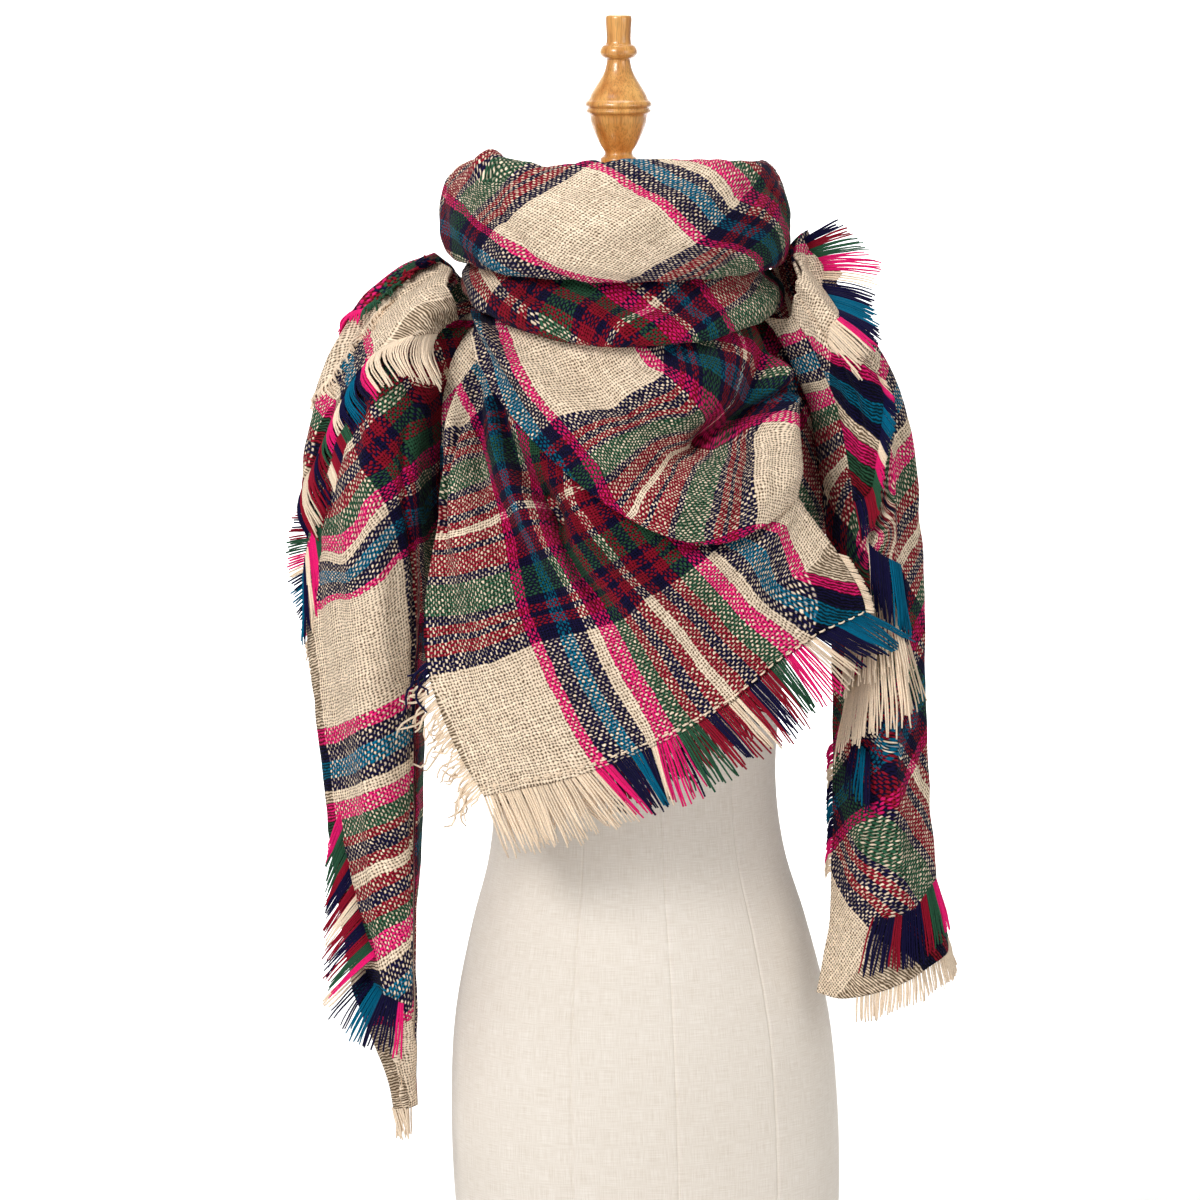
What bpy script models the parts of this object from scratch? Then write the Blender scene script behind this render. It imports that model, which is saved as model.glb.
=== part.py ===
"""Fringed blanket scarf worn round the neck of a limbless dress form on a low round stand.

Metres, +Z up, the wearer faces -Y. The origin is the middle of the stand's underside.
One square of cloth is folded corner to corner and wound: a deep cowl of two rolls, a swooping third
fold and a corner drape in front, and on each side a stretch that comes over the shoulder from behind
and ends in a hanging tail. Every stretch is a wall of two layers of cloth, and each fringe is a
narrow strip with locks of yarn along the cloth's edge.
"""

from collections import namedtuple
from math import cos, radians, sin

import bpy
import numpy as np

CLOTH = 0.0026  # two layers of brushed yarn
SEAM = 0.0008  # gap where one stretch goes on into the next
NECK_X = -0.027  # the neck's axis: the form leans a little to one side
WRAP_COLUMNS = 36

# ---------------------------------------------------------------- dress form and stand

BASE_RADIUS = 0.150
BASE_HEIGHT = 0.024
POLE_RADIUS = 0.017
FORM_BOTTOM = 0.112
FORM_TOP = 1.012
FORM_TURN = radians(8)  # the form faces slightly to its left
CAP_TOP = 1.0236
GAP = 0.0005

Girth = namedtuple("Girth", "z side front back")
GIRTHS = (  # the form's half width and its depth in front of and behind its axis
    Girth(FORM_BOTTOM, 0.158, 0.094, 0.106),
    Girth(0.170, 0.162, 0.097, 0.112),
    Girth(0.247, 0.162, 0.099, 0.116),
    Girth(0.323, 0.156, 0.099, 0.114),
    Girth(0.400, 0.139, 0.093, 0.098),
    Girth(0.457, 0.123, 0.086, 0.084),
    Girth(0.515, 0.117, 0.083, 0.077),
    Girth(0.580, 0.122, 0.087, 0.081),
    Girth(0.650, 0.136, 0.098, 0.089),
    Girth(0.710, 0.147, 0.112, 0.096),
    Girth(0.765, 0.155, 0.122, 0.101),
    Girth(0.815, 0.158, 0.113, 0.102),
    Girth(0.855, 0.157, 0.096, 0.098),
    Girth(0.880, 0.150, 0.080, 0.089),
    Girth(0.898, 0.130, 0.067, 0.078),
    Girth(0.914, 0.102, 0.057, 0.066),
    Girth(0.930, 0.076, 0.051, 0.057),
    Girth(0.948, 0.057, 0.048, 0.052),
    Girth(0.975, 0.050, 0.047, 0.049),
    Girth(FORM_TOP, 0.048, 0.047, 0.047),
)

Turning = namedtuple("Turning", "r z")
FINIAL = (  # a turned profile, from its foot to its top
    Turning(0.0140, CAP_TOP + GAP),
    Turning(0.0146, 1.0262),
    Turning(0.0144, 1.0292),
    Turning(0.0120, 1.0312),
    Turning(0.0112, 1.0336),
    Turning(0.0150, 1.0400),
    Turning(0.0190, 1.0482),
    Turning(0.0222, 1.0568),
    Turning(0.0236, 1.0640),
    Turning(0.0256, 1.0656),
    Turning(0.0262, 1.0672),
    Turning(0.0252, 1.0690),
    Turning(0.0270, 1.0716),
    Turning(0.0262, 1.0744),
    Turning(0.0242, 1.0762),
    Turning(0.0216, 1.0816),
    Turning(0.0172, 1.0886),
    Turning(0.0128, 1.0958),
    Turning(0.0104, 1.1022),
    Turning(0.0098, 1.1082),
    Turning(0.0126, 1.1096),
    Turning(0.0148, 1.1124),
    Turning(0.0148, 1.1156),
    Turning(0.0128, 1.1190),
    Turning(0.0104, 1.1206),
    Turning(0.0104, 1.1420),
    Turning(0.0094, 1.1432),
)
NECK_CAP = (
    Turning(0.0460, FORM_TOP + GAP),
    Turning(0.0490, 1.0135),
    Turning(0.0500, 1.0165),
    Turning(0.0485, 1.0200),
    Turning(0.0400, 1.0222),
    Turning(0.0180, CAP_TOP),
)
STAND_BASE = (
    Turning(BASE_RADIUS - 0.003, 0.0),
    Turning(BASE_RADIUS, 0.004),
    Turning(BASE_RADIUS, 0.013),
    Turning(BASE_RADIUS - 0.008, 0.019),
    Turning(BASE_RADIUS - 0.030, 0.022),
    Turning(0.034, BASE_HEIGHT),
)
STAND_POLE = (
    Turning(0.030, BASE_HEIGHT + GAP),
    Turning(0.031, 0.031),
    Turning(0.024, 0.037),
    Turning(POLE_RADIUS, 0.044),
    Turning(POLE_RADIUS, 0.090),
    Turning(0.026, 0.098),
    Turning(0.034, 0.104),
    Turning(0.034, FORM_BOTTOM - GAP),
)

# ---------------------------------------------------------------- cloth, by its rows

# A ring of the cowl: how far it stands off the neck's axis and its height, on four sides.
Ring = namedtuple("Ring", "left right front back z_left z_front z_right z_back")
RINGS = (
    Ring(0.0565, 0.0565, 0.0492, 0.0522, 0.958, 0.956, 0.958, 0.954),  # inner hem, at the neck
    Ring(0.080, 0.078, 0.070, 0.066, 0.994, 0.990, 0.992, 0.982),
    Ring(0.100, 0.098, 0.088, 0.078, 1.016, 1.020, 1.015, 1.001),
    Ring(0.122, 0.118, 0.112, 0.092, 1.027, 1.034, 1.027, 1.010),  # crest
    Ring(0.140, 0.135, 0.141, 0.104, 1.011, 1.014, 1.010, 0.996),
    Ring(0.146, 0.140, 0.158, 0.110, 0.982, 0.984, 0.980, 0.972),  # fullest
    Ring(0.143, 0.139, 0.159, 0.109, 0.962, 0.957, 0.956, 0.954),
    Ring(0.134, 0.131, 0.150, 0.102, 0.950, 0.941, 0.945, 0.944),  # lowest
    Ring(0.119, 0.116, 0.134, 0.090, 0.953, 0.944, 0.949, 0.947),  # tucked under
    Ring(0.121, 0.122, 0.140, 0.090, 0.946, 0.931, 0.939, 0.940),
    Ring(0.128, 0.1335, 0.158, 0.094, 0.937, 0.913, 0.926, 0.933),  # second roll
    Ring(0.127, 0.1325, 0.159, 0.093, 0.925, 0.893, 0.912, 0.925),
    Ring(0.115, 0.118, 0.145, 0.086, 0.924, 0.891, 0.910, 0.923),  # tucked under
)
COWL_ROWS = (0.0, 8.0)
LIP_ROWS = 4  # rows of the cowl that line the neck opening, up to the crest
LIP_GAP = 0.0030  # the gap along the crest, measured outside: inside, the two walls lean together
SECOND_ROWS = (8.0, 12.0)

# The swooping lower edge of the third fold, from the left of the neck round to the right.
SWOOP = (
    (-0.146, -0.082, 0.886),
    (-0.132, -0.108, 0.863),
    (-0.117, -0.128, 0.842),
    (-0.085, -0.154, 0.808),
    (-0.041, -0.174, 0.773),
    (0.009, -0.184, 0.747),
    (0.050, -0.182, 0.741),
    (0.087, -0.160, 0.752),
    (0.114, -0.128, 0.770),
)
THIRD_ANGLES = (radians(-70), radians(64))  # where the third fold leaves the second
THIRD_RIGHT = ((0.108, -0.088, 0.858), (0.110, -0.100, 0.827), (0.113, -0.113, 0.797))

# The corner drape: its left, bottom and right edges. The corner of the cloth is at its lower left.
DRAPE_LEFT = (
    (-0.156, -0.069, 0.893),
    (-0.164, -0.105, 0.813),
    (-0.178, -0.126, 0.722),
    (-0.181, -0.132, 0.645),
    (-0.160, -0.140, 0.580),
    (-0.134, -0.148, 0.534),
)
DRAPE_HEM = (
    (-0.134, -0.148, 0.534),
    (-0.042, -0.172, 0.561),
    (0.036, -0.170, 0.598),
    (0.112, -0.150, 0.650),
    (0.168, -0.126, 0.678),
)
DRAPE_RIGHT = ((0.127, -0.123, 0.751), (0.148, -0.126, 0.722), (0.161, -0.128, 0.699))
TUCK_BACK = 0.020  # how far the drape starts behind and above the swoop
TUCK_UP = 0.015

# The second layer of the folded square shows under the drape's hem. Its upper edge is joined to
# the back of the drape, between these shares across it and at this share down it.
UNDER_ACROSS = (0.06, 0.66)
UNDER_DOWN = 0.80
UNDER_HEM = (
    (-0.126, -0.134, 0.522),
    (-0.050, -0.152, 0.548),
    (0.018, -0.152, 0.572),
    (0.078, -0.145, 0.616),
)

# A soft fold: shares across and down a stretch where its ridge starts and ends, and its
# half width and height. A negative height is a trough.
Fold = namedtuple("Fold", "across down to_across to_down half_width height")
COWL_FOLDS = (
    Fold(0.50, 0.62, 0.60, 0.50, 0.020, 0.005),
    Fold(0.34, 0.36, 0.44, 0.66, 0.022, 0.004),
    Fold(0.64, 0.52, 0.74, 0.50, 0.014, -0.005),
    Fold(0.26, 0.50, 0.32, 0.80, 0.016, -0.005),
    Fold(0.90, 0.30, 0.99, 0.70, 0.020, -0.005),
    Fold(0.04, 0.35, 0.12, 0.75, 0.020, 0.005),
    Fold(0.36, 0.20, 0.42, 0.10, 0.020, -0.005),
    Fold(0.26, 0.10, 0.30, 0.24, 0.018, 0.005),
)
SECOND_FOLDS = (
    Fold(0.46, 0.20, 0.62, 0.55, 0.012, -0.004),
    Fold(0.34, 0.70, 0.46, 0.40, 0.012, 0.003),
    Fold(0.60, 0.75, 0.68, 0.50, 0.012, 0.004),
)
THIRD_FOLDS = (
    Fold(0.10, 0.45, 0.66, 0.72, 0.034, 0.016),
    Fold(1.02, 0.10, 0.66, 0.52, 0.022, -0.016),
    Fold(0.99, 0.30, 0.94, 1.00, 0.024, 0.010),
    Fold(0.86, 0.55, 0.76, 1.00, 0.022, -0.008),
    Fold(0.62, 0.20, 0.90, 0.06, 0.022, 0.010),
)
DRAPE_FOLDS = (
    Fold(0.02, 0.06, 0.34, 0.42, 0.016, -0.014),
    Fold(0.10, 0.06, 0.56, 0.46, 0.026, 0.014),
    Fold(0.00, 0.14, 0.18, 0.52, 0.018, 0.013),
    Fold(-0.02, 0.26, 0.07, 0.62, 0.018, -0.008),
    Fold(0.30, 0.10, 0.72, 0.40, 0.018, -0.007),
    Fold(0.98, 0.02, 0.78, 0.30, 0.024, 0.010),
    Fold(0.80, 0.06, 0.60, 0.20, 0.020, -0.008),
    Fold(0.28, 0.70, 0.33, 1.05, 0.028, -0.006),
    Fold(0.56, 0.66, 0.62, 1.05, 0.026, 0.006),
    Fold(0.84, 0.55, 0.86, 1.05, 0.024, -0.006),
)

# One row of a side stretch, from the return on its inner side round its front and outer side to
# its back edge. lap is how far the return reaches inwards. Below the shoulder the same rows go on as the hanging tail.
Side = namedtuple("Side", "z_in x_in y_in turn x_out z_out x_back y_back z_back lap")
LEFT_CAPE = (
    Side(0.903, -0.160, -0.060, 0.006, -0.168, 0.9400, 0.012, 0.088, 0.908, 0.0244),
    Side(0.893, -0.174, -0.078, 0.014, -0.188, 0.9300, 0.008, 0.104, 0.893, 0.0244),
    Side(0.868, -0.184, -0.092, 0.024, -0.220, 0.9040, 0.002, 0.116, 0.872, 0.0244),
    Side(0.836, -0.190, -0.099, 0.032, -0.248, 0.8640, -0.008, 0.125, 0.848, 0.0244),
    Side(0.790, -0.194, -0.102, 0.038, -0.267, 0.8100, -0.020, 0.131, 0.820, 0.0244),
    Side(0.745, -0.196, -0.100, 0.040, -0.277, 0.7450, -0.034, 0.134, 0.790, 0.0244),
)
LEFT_TAIL = (
    Side(0.7438, -0.196, -0.100, 0.040, -0.277, 0.7438, -0.279, 0.016, 0.7438, 0.0244),
    Side(0.680, -0.196, -0.098, 0.042, -0.281, 0.680, -0.280, 0.012, 0.686, 0.0220),
    Side(0.610, -0.197, -0.096, 0.043, -0.276, 0.610, -0.275, 0.004, 0.616, 0.0135),
    Side(0.540, -0.198, -0.094, 0.042, -0.267, 0.540, -0.266, -0.004, 0.546, 0.0127),
    Side(0.470, -0.198, -0.092, 0.038, -0.260, 0.470, -0.259, -0.012, 0.476, 0.0105),
    Side(0.400, -0.197, -0.090, 0.032, -0.250, 0.400, -0.249, -0.022, 0.406, 0.0040),
    Side(0.340, -0.196, -0.088, 0.024, -0.236, 0.338, -0.235, -0.034, 0.343, 0.0030),
    Side(0.290, -0.196, -0.085, 0.014, -0.216, 0.288, -0.215, -0.050, 0.292, 0.0030),
    Side(0.262, -0.194, -0.084, 0.008, -0.208, 0.260, -0.206, -0.062, 0.262, 0.0030),
)
RIGHT_CAPE = (
    Side(0.905, 0.112, -0.062, 0.004, 0.122, 0.9690, -0.034, 0.104, 0.908, 0.0244),
    Side(0.890, 0.124, -0.078, 0.012, 0.140, 0.9360, -0.036, 0.121, 0.893, 0.0244),
    Side(0.862, 0.138, -0.086, 0.020, 0.166, 0.8980, -0.044, 0.134, 0.872, 0.0244),
    Side(0.830, 0.150, -0.086, 0.026, 0.190, 0.8560, -0.060, 0.144, 0.848, 0.0244),
    Side(0.786, 0.158, -0.084, 0.030, 0.207, 0.8060, -0.078, 0.151, 0.820, 0.0244),
    Side(0.745, 0.164, -0.081, 0.032, 0.2165, 0.7450, -0.096, 0.154, 0.790, 0.0244),
)
RIGHT_TAIL = (
    Side(0.7441, 0.164, -0.081, 0.032, 0.2165, 0.7441, 0.2185, 0.016, 0.7441, 0.0244),
    Side(0.680, 0.168, -0.081, 0.032, 0.2195, 0.680, 0.219, 0.012, 0.686, 0.0244),
    Side(0.610, 0.171, -0.083, 0.032, 0.2200, 0.610, 0.219, 0.004, 0.616, 0.0244),
    Side(0.540, 0.172, -0.085, 0.032, 0.2240, 0.540, 0.223, -0.002, 0.546, 0.0244),
    Side(0.470, 0.172, -0.085, 0.030, 0.2290, 0.470, 0.228, -0.008, 0.476, 0.0244),
    Side(0.410, 0.170, -0.083, 0.026, 0.2350, 0.418, 0.235, -0.014, 0.422, 0.0244),
    Side(0.350, 0.160, -0.081, 0.020, 0.2440, 0.384, 0.246, -0.016, 0.390, 0.0244),
)
TAIL_FOLDS = (
    Fold(0.30, 0.00, 0.28, 0.95, 0.012, 0.003),
    Fold(0.48, 0.02, 0.44, 0.80, 0.014, -0.004),
    Fold(0.70, 0.05, 0.66, 0.70, 0.014, 0.004),
    Fold(0.86, 0.00, 0.84, 0.60, 0.014, -0.004),
)
CAPE_FOLDS = (
    Fold(0.45, 0.30, 0.40, 1.00, 0.018, 0.005),
    Fold(0.58, 0.20, 0.55, 1.00, 0.018, -0.006),
    Fold(0.69, 0.20, 0.69, 1.00, 0.022, 0.008),
    Fold(0.78, 0.20, 0.79, 1.00, 0.020, -0.007),
    Fold(0.87, 0.30, 0.86, 1.00, 0.022, 0.005),
)

# An upper layer that lies on a side stretch: shares round and down that stretch at each of its
# stations, where it starts and where its hem is. The shares go on past 1 onto the tail.
Station = namedtuple("Station", "around top hem")
LAYER_LIFT = ((0.0091, 0.0091), (0.0050, 0.0091))  # off the shoulder at the top and hem, left and right
LEFT_LAYER = (
    Station(0.135, 0.02, 0.22),
    Station(0.18, 0.00, 0.30),
    Station(0.23, 0.00, 0.44),
    Station(0.29, 0.00, 0.60),
    Station(0.35, 0.01, 0.76),
    Station(0.41, 0.02, 0.92),
    Station(0.48, 0.03, 0.95),
    Station(0.56, 0.05, 0.80),
    Station(0.64, 0.08, 0.56),
)
RIGHT_LAYER = (
    Station(0.13, 0.03, 0.92),
    Station(0.16, 0.01, 0.90),
    Station(0.19, 0.00, 0.78),
    Station(0.24, 0.00, 0.52),
    Station(0.32, 0.00, 0.34),
    Station(0.42, 0.00, 0.25),
    Station(0.52, 0.00, 0.24),
    Station(0.62, 0.03, 0.22),
)
TAIL_SHARES = ((0.0, 0.13, 0.43, 0.56), (0.0, 0.15, 0.70, 1.0))  # a shoulder's shares and its tail's

STRIP = 0.004  # the depth of a fringe's strip
LOCK = 0.0016  # the thickness of a lock of yarn

# Fringes on the edges of a side stretch: which edge, the share of it from which and to which they
# run, the way the yarn hangs along it, and how many locks it has.
Edge = namedtuple("Edge", "name edge start end hangs locks length")
LEFT_EDGES = (
    Edge("layer_fringe", "layer", 0.0, 0.58,
         ((0.1, -0.5, -1), (0.25, -0.7, -1), (0.2, -0.8, -1), (0, -0.6, -1), (-0.2, -0.4, -1)), 15, 0.050),
    Edge("outer_tufts", "outer", 0.0, 0.28,
         ((-1, 0, 0.3), (-0.9, 0, -0.1), (-0.3, -0.1, -1), (-0.1, -0.1, -1)), 8, 0.034),
    Edge("tail_fringe", "outer", 0.30, 0.97,
         ((-0.4, 0.1, -1), (-0.6, 0.0, -1), (-0.7, 0.0, -1), (-0.3, 0.0, -1)), 18, 0.042),
)
RIGHT_EDGES = (
    Edge("fan_fringe", "layer", 0.48, 0.98,
         ((1, -0.2, -0.2), (1, -0.1, 0.3), (0.8, 0.0, 0.9), (0.5, 0.1, 1)), 9, 0.052),
    Edge("layer_fringe", "layer", 0.0, 0.44,
         ((0, -0.2, -1), (0.2, -0.3, -1), (0.9, -0.3, -0.8), (1, -0.3, -0.5), (1, -0.3, -0.4)), 12, 0.046),
    Edge("inner_tufts", "inner", 0.46, 0.72,
         ((-0.5, -0.2, -1), (-0.5, -0.2, -1), (-0.4, -0.2, -1)), 5, 0.040),
)

# Fringes of hidden layers that come out on a side stretch: the path of their strip in shares round
# and down it, and how far the strip is lifted off the cloth.
Laid = namedtuple("Laid", "name path lift hangs locks length")
LEFT_FRINGES = (
    Laid("shoulder_tufts", ((0.46, 0.04), (0.46, 0.22), (0.47, 0.45), (0.47, 0.62)), 0.0089,
         ((-0.7, 0.2, 0.8), (-1, 0.2, 0.6), (-1, 0.2, -0.2), (-0.5, 0.2, -1)), 10, 0.022),
)
RIGHT_FRINGES = (
    Laid("middle_fringe", ((0.16, 1.18), (0.22, 1.13), (0.30, 1.12), (0.38, 1.10)), 0.0024,
         ((-0.2, -0.3, -1), (0.0, -0.3, -1), (0.2, -0.3, -1), (0.1, -0.2, -1)), 10, 0.070),
    Laid("upper_tip_fringe", ((0.17, 1.93), (0.26, 1.88), (0.34, 1.80), (0.42, 1.70)), 0.0016,
         ((0.0, -0.3, -1), (0.0, -0.3, -1), (0.1, -0.3, -1), (0.1, -0.2, -1)), 8, 0.034),
)

# ---------------------------------------------------------------- shapes


def through(points, shares):
    """Points at shares of the way along the smooth curve through the given ones."""
    points = np.asarray(points, float)
    steps = np.sqrt(np.linalg.norm(np.diff(points[:, :3], axis=0), axis=1)) + 1e-9
    knots = np.concatenate([[0.0], np.cumsum(steps)])
    slopes = np.gradient(points, knots, axis=0)
    at = np.asarray(shares, float) * knots[-1]
    i = np.clip(np.searchsorted(knots, at, side="right") - 1, 0, len(points) - 2)
    span = (knots[i + 1] - knots[i])[:, None]
    t = ((at - knots[i]) / (knots[i + 1] - knots[i]))[:, None]
    start = points[i] * (1 + 2 * t) * (1 - t) ** 2 + slopes[i] * span * t * (1 - t) ** 2
    end = points[i + 1] * t**2 * (3 - 2 * t) + slopes[i + 1] * span * t**2 * (t - 1)
    return start + end


def rows_between(rows, low, high, count):
    """Rows of a net, evened out between two row numbers, on the smooth surface through all rows."""
    numbers = np.linspace(low, high, count)
    i = np.clip(numbers.astype(int), 0, len(rows) - 2)
    t = (numbers - i)[:, None, None]
    slopes = np.gradient(rows, axis=0)
    start = rows[i] * (1 + 2 * t) * (1 - t) ** 2 + slopes[i] * t * (1 - t) ** 2
    return start + rows[i + 1] * t**2 * (3 - 2 * t) + slopes[i + 1] * t**2 * (t - 1)


def between_edges(top, bottom, left, right):
    """The net that fills four edges: top and bottom run left to right, the others downwards."""
    s = np.linspace(0, 1, len(top))[None, :, None]
    t = np.linspace(0, 1, len(left))[:, None, None]
    across = left[:, None] * (1 - s) + right[:, None] * s
    down = top[None] * (1 - t) + bottom[None] * t
    corners = (top[0] * (1 - s) + top[-1] * s) * (1 - t)
    corners = corners + (bottom[0] * (1 - s) + bottom[-1] * s) * t
    return across + down - corners


def normals_of(net, closed=False):
    """Unit normals of a net. They point out of the cloth when rows run down and columns right."""
    if closed:
        wide = np.concatenate([net[:, -1:], net, net[:, :1]], axis=1)
        across = np.gradient(wide, axis=1)[:, 1:-1]
    else:
        across = np.gradient(net, axis=1)
    down = np.gradient(net, axis=0)
    normal = np.cross(down, across)
    return normal / np.maximum(np.linalg.norm(normal, axis=2, keepdims=True), 1e-12)


def folded(net, folds, closed=False, fade=(0.0, 0.0)):
    """The net with each fold's ridge or trough raised along its normals.

    fade gives the shares down over which the folds fade out at the top and at the bottom."""
    rows, columns = net.shape[:2]
    s = np.linspace(0, 1, columns)[None, :]
    t = np.linspace(0, 1, rows)[:, None]
    wide = np.linalg.norm(np.diff(net[rows // 2], axis=0), axis=1).sum()
    tall = np.linalg.norm(np.diff(net[:, columns // 2], axis=0), axis=1).sum()
    lift = np.zeros((rows, columns))
    for fold in folds:
        run = np.array([(fold.to_across - fold.across) * wide, (fold.to_down - fold.down) * tall])
        x, y = (s - fold.across) * wide, (t - fold.down) * tall
        along = (x * run[0] + y * run[1]) / (run @ run)
        off = (x * run[1] - y * run[0]) / np.sqrt(run @ run)
        broad = fold.half_width * (0.55 + 0.6 * np.clip(along, 0, 1.2))
        past = np.maximum(np.maximum(-along, along - 1), 0) * np.sqrt(run @ run)
        lift += fold.height * np.exp(-((off / broad) ** 2) - (past / (1.6 * fold.half_width)) ** 2)
    for share, far in zip(fade, (t, 1 - t)):
        if share:
            lift *= np.clip(far / share, 0, 1)
    return net + normals_of(net, closed) * lift[..., None]


def material(name, colour, roughness):
    made = bpy.data.materials.get(name) or bpy.data.materials.new(name)
    made.use_nodes = True
    shader = made.node_tree.nodes["Principled BSDF"]
    shader.inputs["Base Color"].default_value = (*colour, 1.0)
    shader.inputs["Roughness"].default_value = roughness
    return made


def add_mesh(name, points, faces, look):
    mesh = bpy.data.meshes.new(name)
    mesh.from_pydata([tuple(p) for p in points], [], [tuple(int(i) for i in f) for f in faces])
    mesh.materials.append(material(*look))
    mesh.shade_smooth()
    made = bpy.data.objects.new(name, mesh)
    bpy.context.scene.collection.objects.link(made)
    return made


def net_faces(rows, columns, closed=False):
    last = columns if closed else columns - 1
    return [
        (a + c, a + columns + c, a + columns + (c + 1) % columns, a + (c + 1) % columns)
        for a in range(0, (rows - 1) * columns, columns)
        for c in range(last)
    ]


def cloth(name, net, look, closed=False):
    """A net of outer points made a wall of cloth by Solidify."""
    rows, columns = net.shape[:2]
    made = add_mesh(name, net.reshape(-1, 3), net_faces(rows, columns, closed), look)
    wall = made.modifiers.new("wall", "SOLIDIFY")
    wall.thickness = CLOTH
    wall.offset = -1.0
    wall.use_even_offset = False
    return made


def turned(name, profile, look, sides, centre_x=0.0):
    """A turned piece: a ring of points for each row of its profile, with flat ends."""
    angles = np.arange(sides) * 2 * np.pi / sides
    points = [
        (centre_x + row.r * cos(a), row.r * sin(a), row.z)
        for row in profile
        for a in angles
    ]
    faces = [
        (i * sides + k, i * sides + (k + 1) % sides, (i + 1) * sides + (k + 1) % sides, (i + 1) * sides + k)
        for i in range(len(profile) - 1)
        for k in range(sides)
    ]
    top = (len(profile) - 1) * sides
    faces += [tuple(range(sides - 1, -1, -1)), tuple(range(top, top + sides))]
    made = add_mesh(name, points, faces, look)
    made.data.set_sharp_from_angle(angle=radians(40))
    return made


# ---------------------------------------------------------------- looks

LINEN = ("linen", (0.80, 0.75, 0.68), 0.9)
WOOD = ("honey_wood", (0.62, 0.34, 0.12), 0.35)
TARTAN = ("blanket_cloth", (0.36, 0.22, 0.26), 0.95)
CREAM = ("cream_cloth", (0.80, 0.70, 0.55), 0.95)
YARN = ("fringe_yarn", (0.55, 0.30, 0.35), 0.95)


# ---------------------------------------------------------------- the form


def form_centre(z):
    """The form's axis, which moves over to the neck's axis on its way up."""
    return NECK_X * min(1.0, (z - FORM_BOTTOM) / (0.95 - FORM_BOTTOM))


def dress_form(sides=26):
    points = []
    for girth in GIRTHS:
        for k in range(sides):
            angle = 2 * np.pi * k / sides
            depth = girth.front if sin(angle) < 0 else girth.back
            x, y = girth.side * cos(angle), depth * sin(angle)
            points.append(
                (
                    form_centre(girth.z) + x * cos(FORM_TURN) - y * sin(FORM_TURN),
                    x * sin(FORM_TURN) + y * cos(FORM_TURN),
                    girth.z,
                )
            )
    faces = [
        (i * sides + k, i * sides + (k + 1) % sides, (i + 1) * sides + (k + 1) % sides, (i + 1) * sides + k)
        for i in range(len(GIRTHS) - 1)
        for k in range(sides)
    ]
    top = (len(GIRTHS) - 1) * sides
    faces += [tuple(range(sides - 1, -1, -1)), tuple(range(top, top + sides))]
    return add_mesh("dress_form", points, faces, LINEN)


# ---------------------------------------------------------------- the stretches of cloth


def ring_rows(angles):
    """Every ring of the cowl at the given angles: 0 in front, positive towards the right."""
    sine, cosine = np.sin(angles), np.cos(angles)
    front, back = np.maximum(cosine, 0) ** 1.6, np.maximum(-cosine, 0) ** 1.6
    rows = []
    for ring in RINGS:
        side_z = np.where(sine < 0, ring.z_left, ring.z_right)
        x = NECK_X + sine * np.where(sine < 0, ring.left, ring.right)
        y = -cosine * np.where(cosine > 0, ring.front, ring.back)
        z = side_z + (ring.z_front - side_z) * front + (ring.z_back - side_z) * back
        rows.append(np.stack([x, y, z], axis=1))
    return np.array(rows)


def wrap_net(rows, count):
    """Columns run from the back of the neck, by the left side, the front and the right side."""
    angles = -np.pi + 2 * np.pi * np.arange(WRAP_COLUMNS) / WRAP_COLUMNS
    return rows_between(ring_rows(angles), rows[0], rows[1], count)


def third_fold_net(columns=21, rows=12):
    shares = np.linspace(0, 1, columns)
    angles = THIRD_ANGLES[0] + (THIRD_ANGLES[1] - THIRD_ANGLES[0]) * shares
    top = ring_rows(angles)[-1] - (0.0, 0.0, 0.6 * SEAM)
    bottom = through(SWOOP, shares)
    left = through((top[0], bottom[0]), np.linspace(0, 1, rows))
    right = through((top[-1], *THIRD_RIGHT, bottom[-1]), np.linspace(0, 1, rows))
    return folded(between_edges(top, bottom, left, right), THIRD_FOLDS, fade=(0.15, 0.15))


def swoop_tuck(shares):
    """The drape's upper edge: behind and above the swoop, and nearly level with it on the right."""
    edge = through(SWOOP, shares)
    inward = (NECK_X, 0.0, 0.0) - edge * (1.0, 1.0, 0.0)
    inward /= np.linalg.norm(inward, axis=1, keepdims=True)
    tuck = 0.3 + 0.7 * np.clip((1 - np.asarray(shares)) / 0.35, 0, 1)[:, None]
    return edge + tuck * (inward * TUCK_BACK + (0.0, 0.0, TUCK_UP))


def drape_net(columns=25, rows=19):
    shares = np.linspace(0, 1, columns)
    down = np.linspace(0, 1, rows)
    top = swoop_tuck(shares)
    bottom = through(DRAPE_HEM, shares)
    left = through((top[0], *DRAPE_LEFT[1:-1], bottom[0]), down)
    right = through((top[-1], *DRAPE_RIGHT, bottom[-1]), down)
    return folded(between_edges(top, bottom, left, right), DRAPE_FOLDS, fade=(0.2, 0.0))


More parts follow.
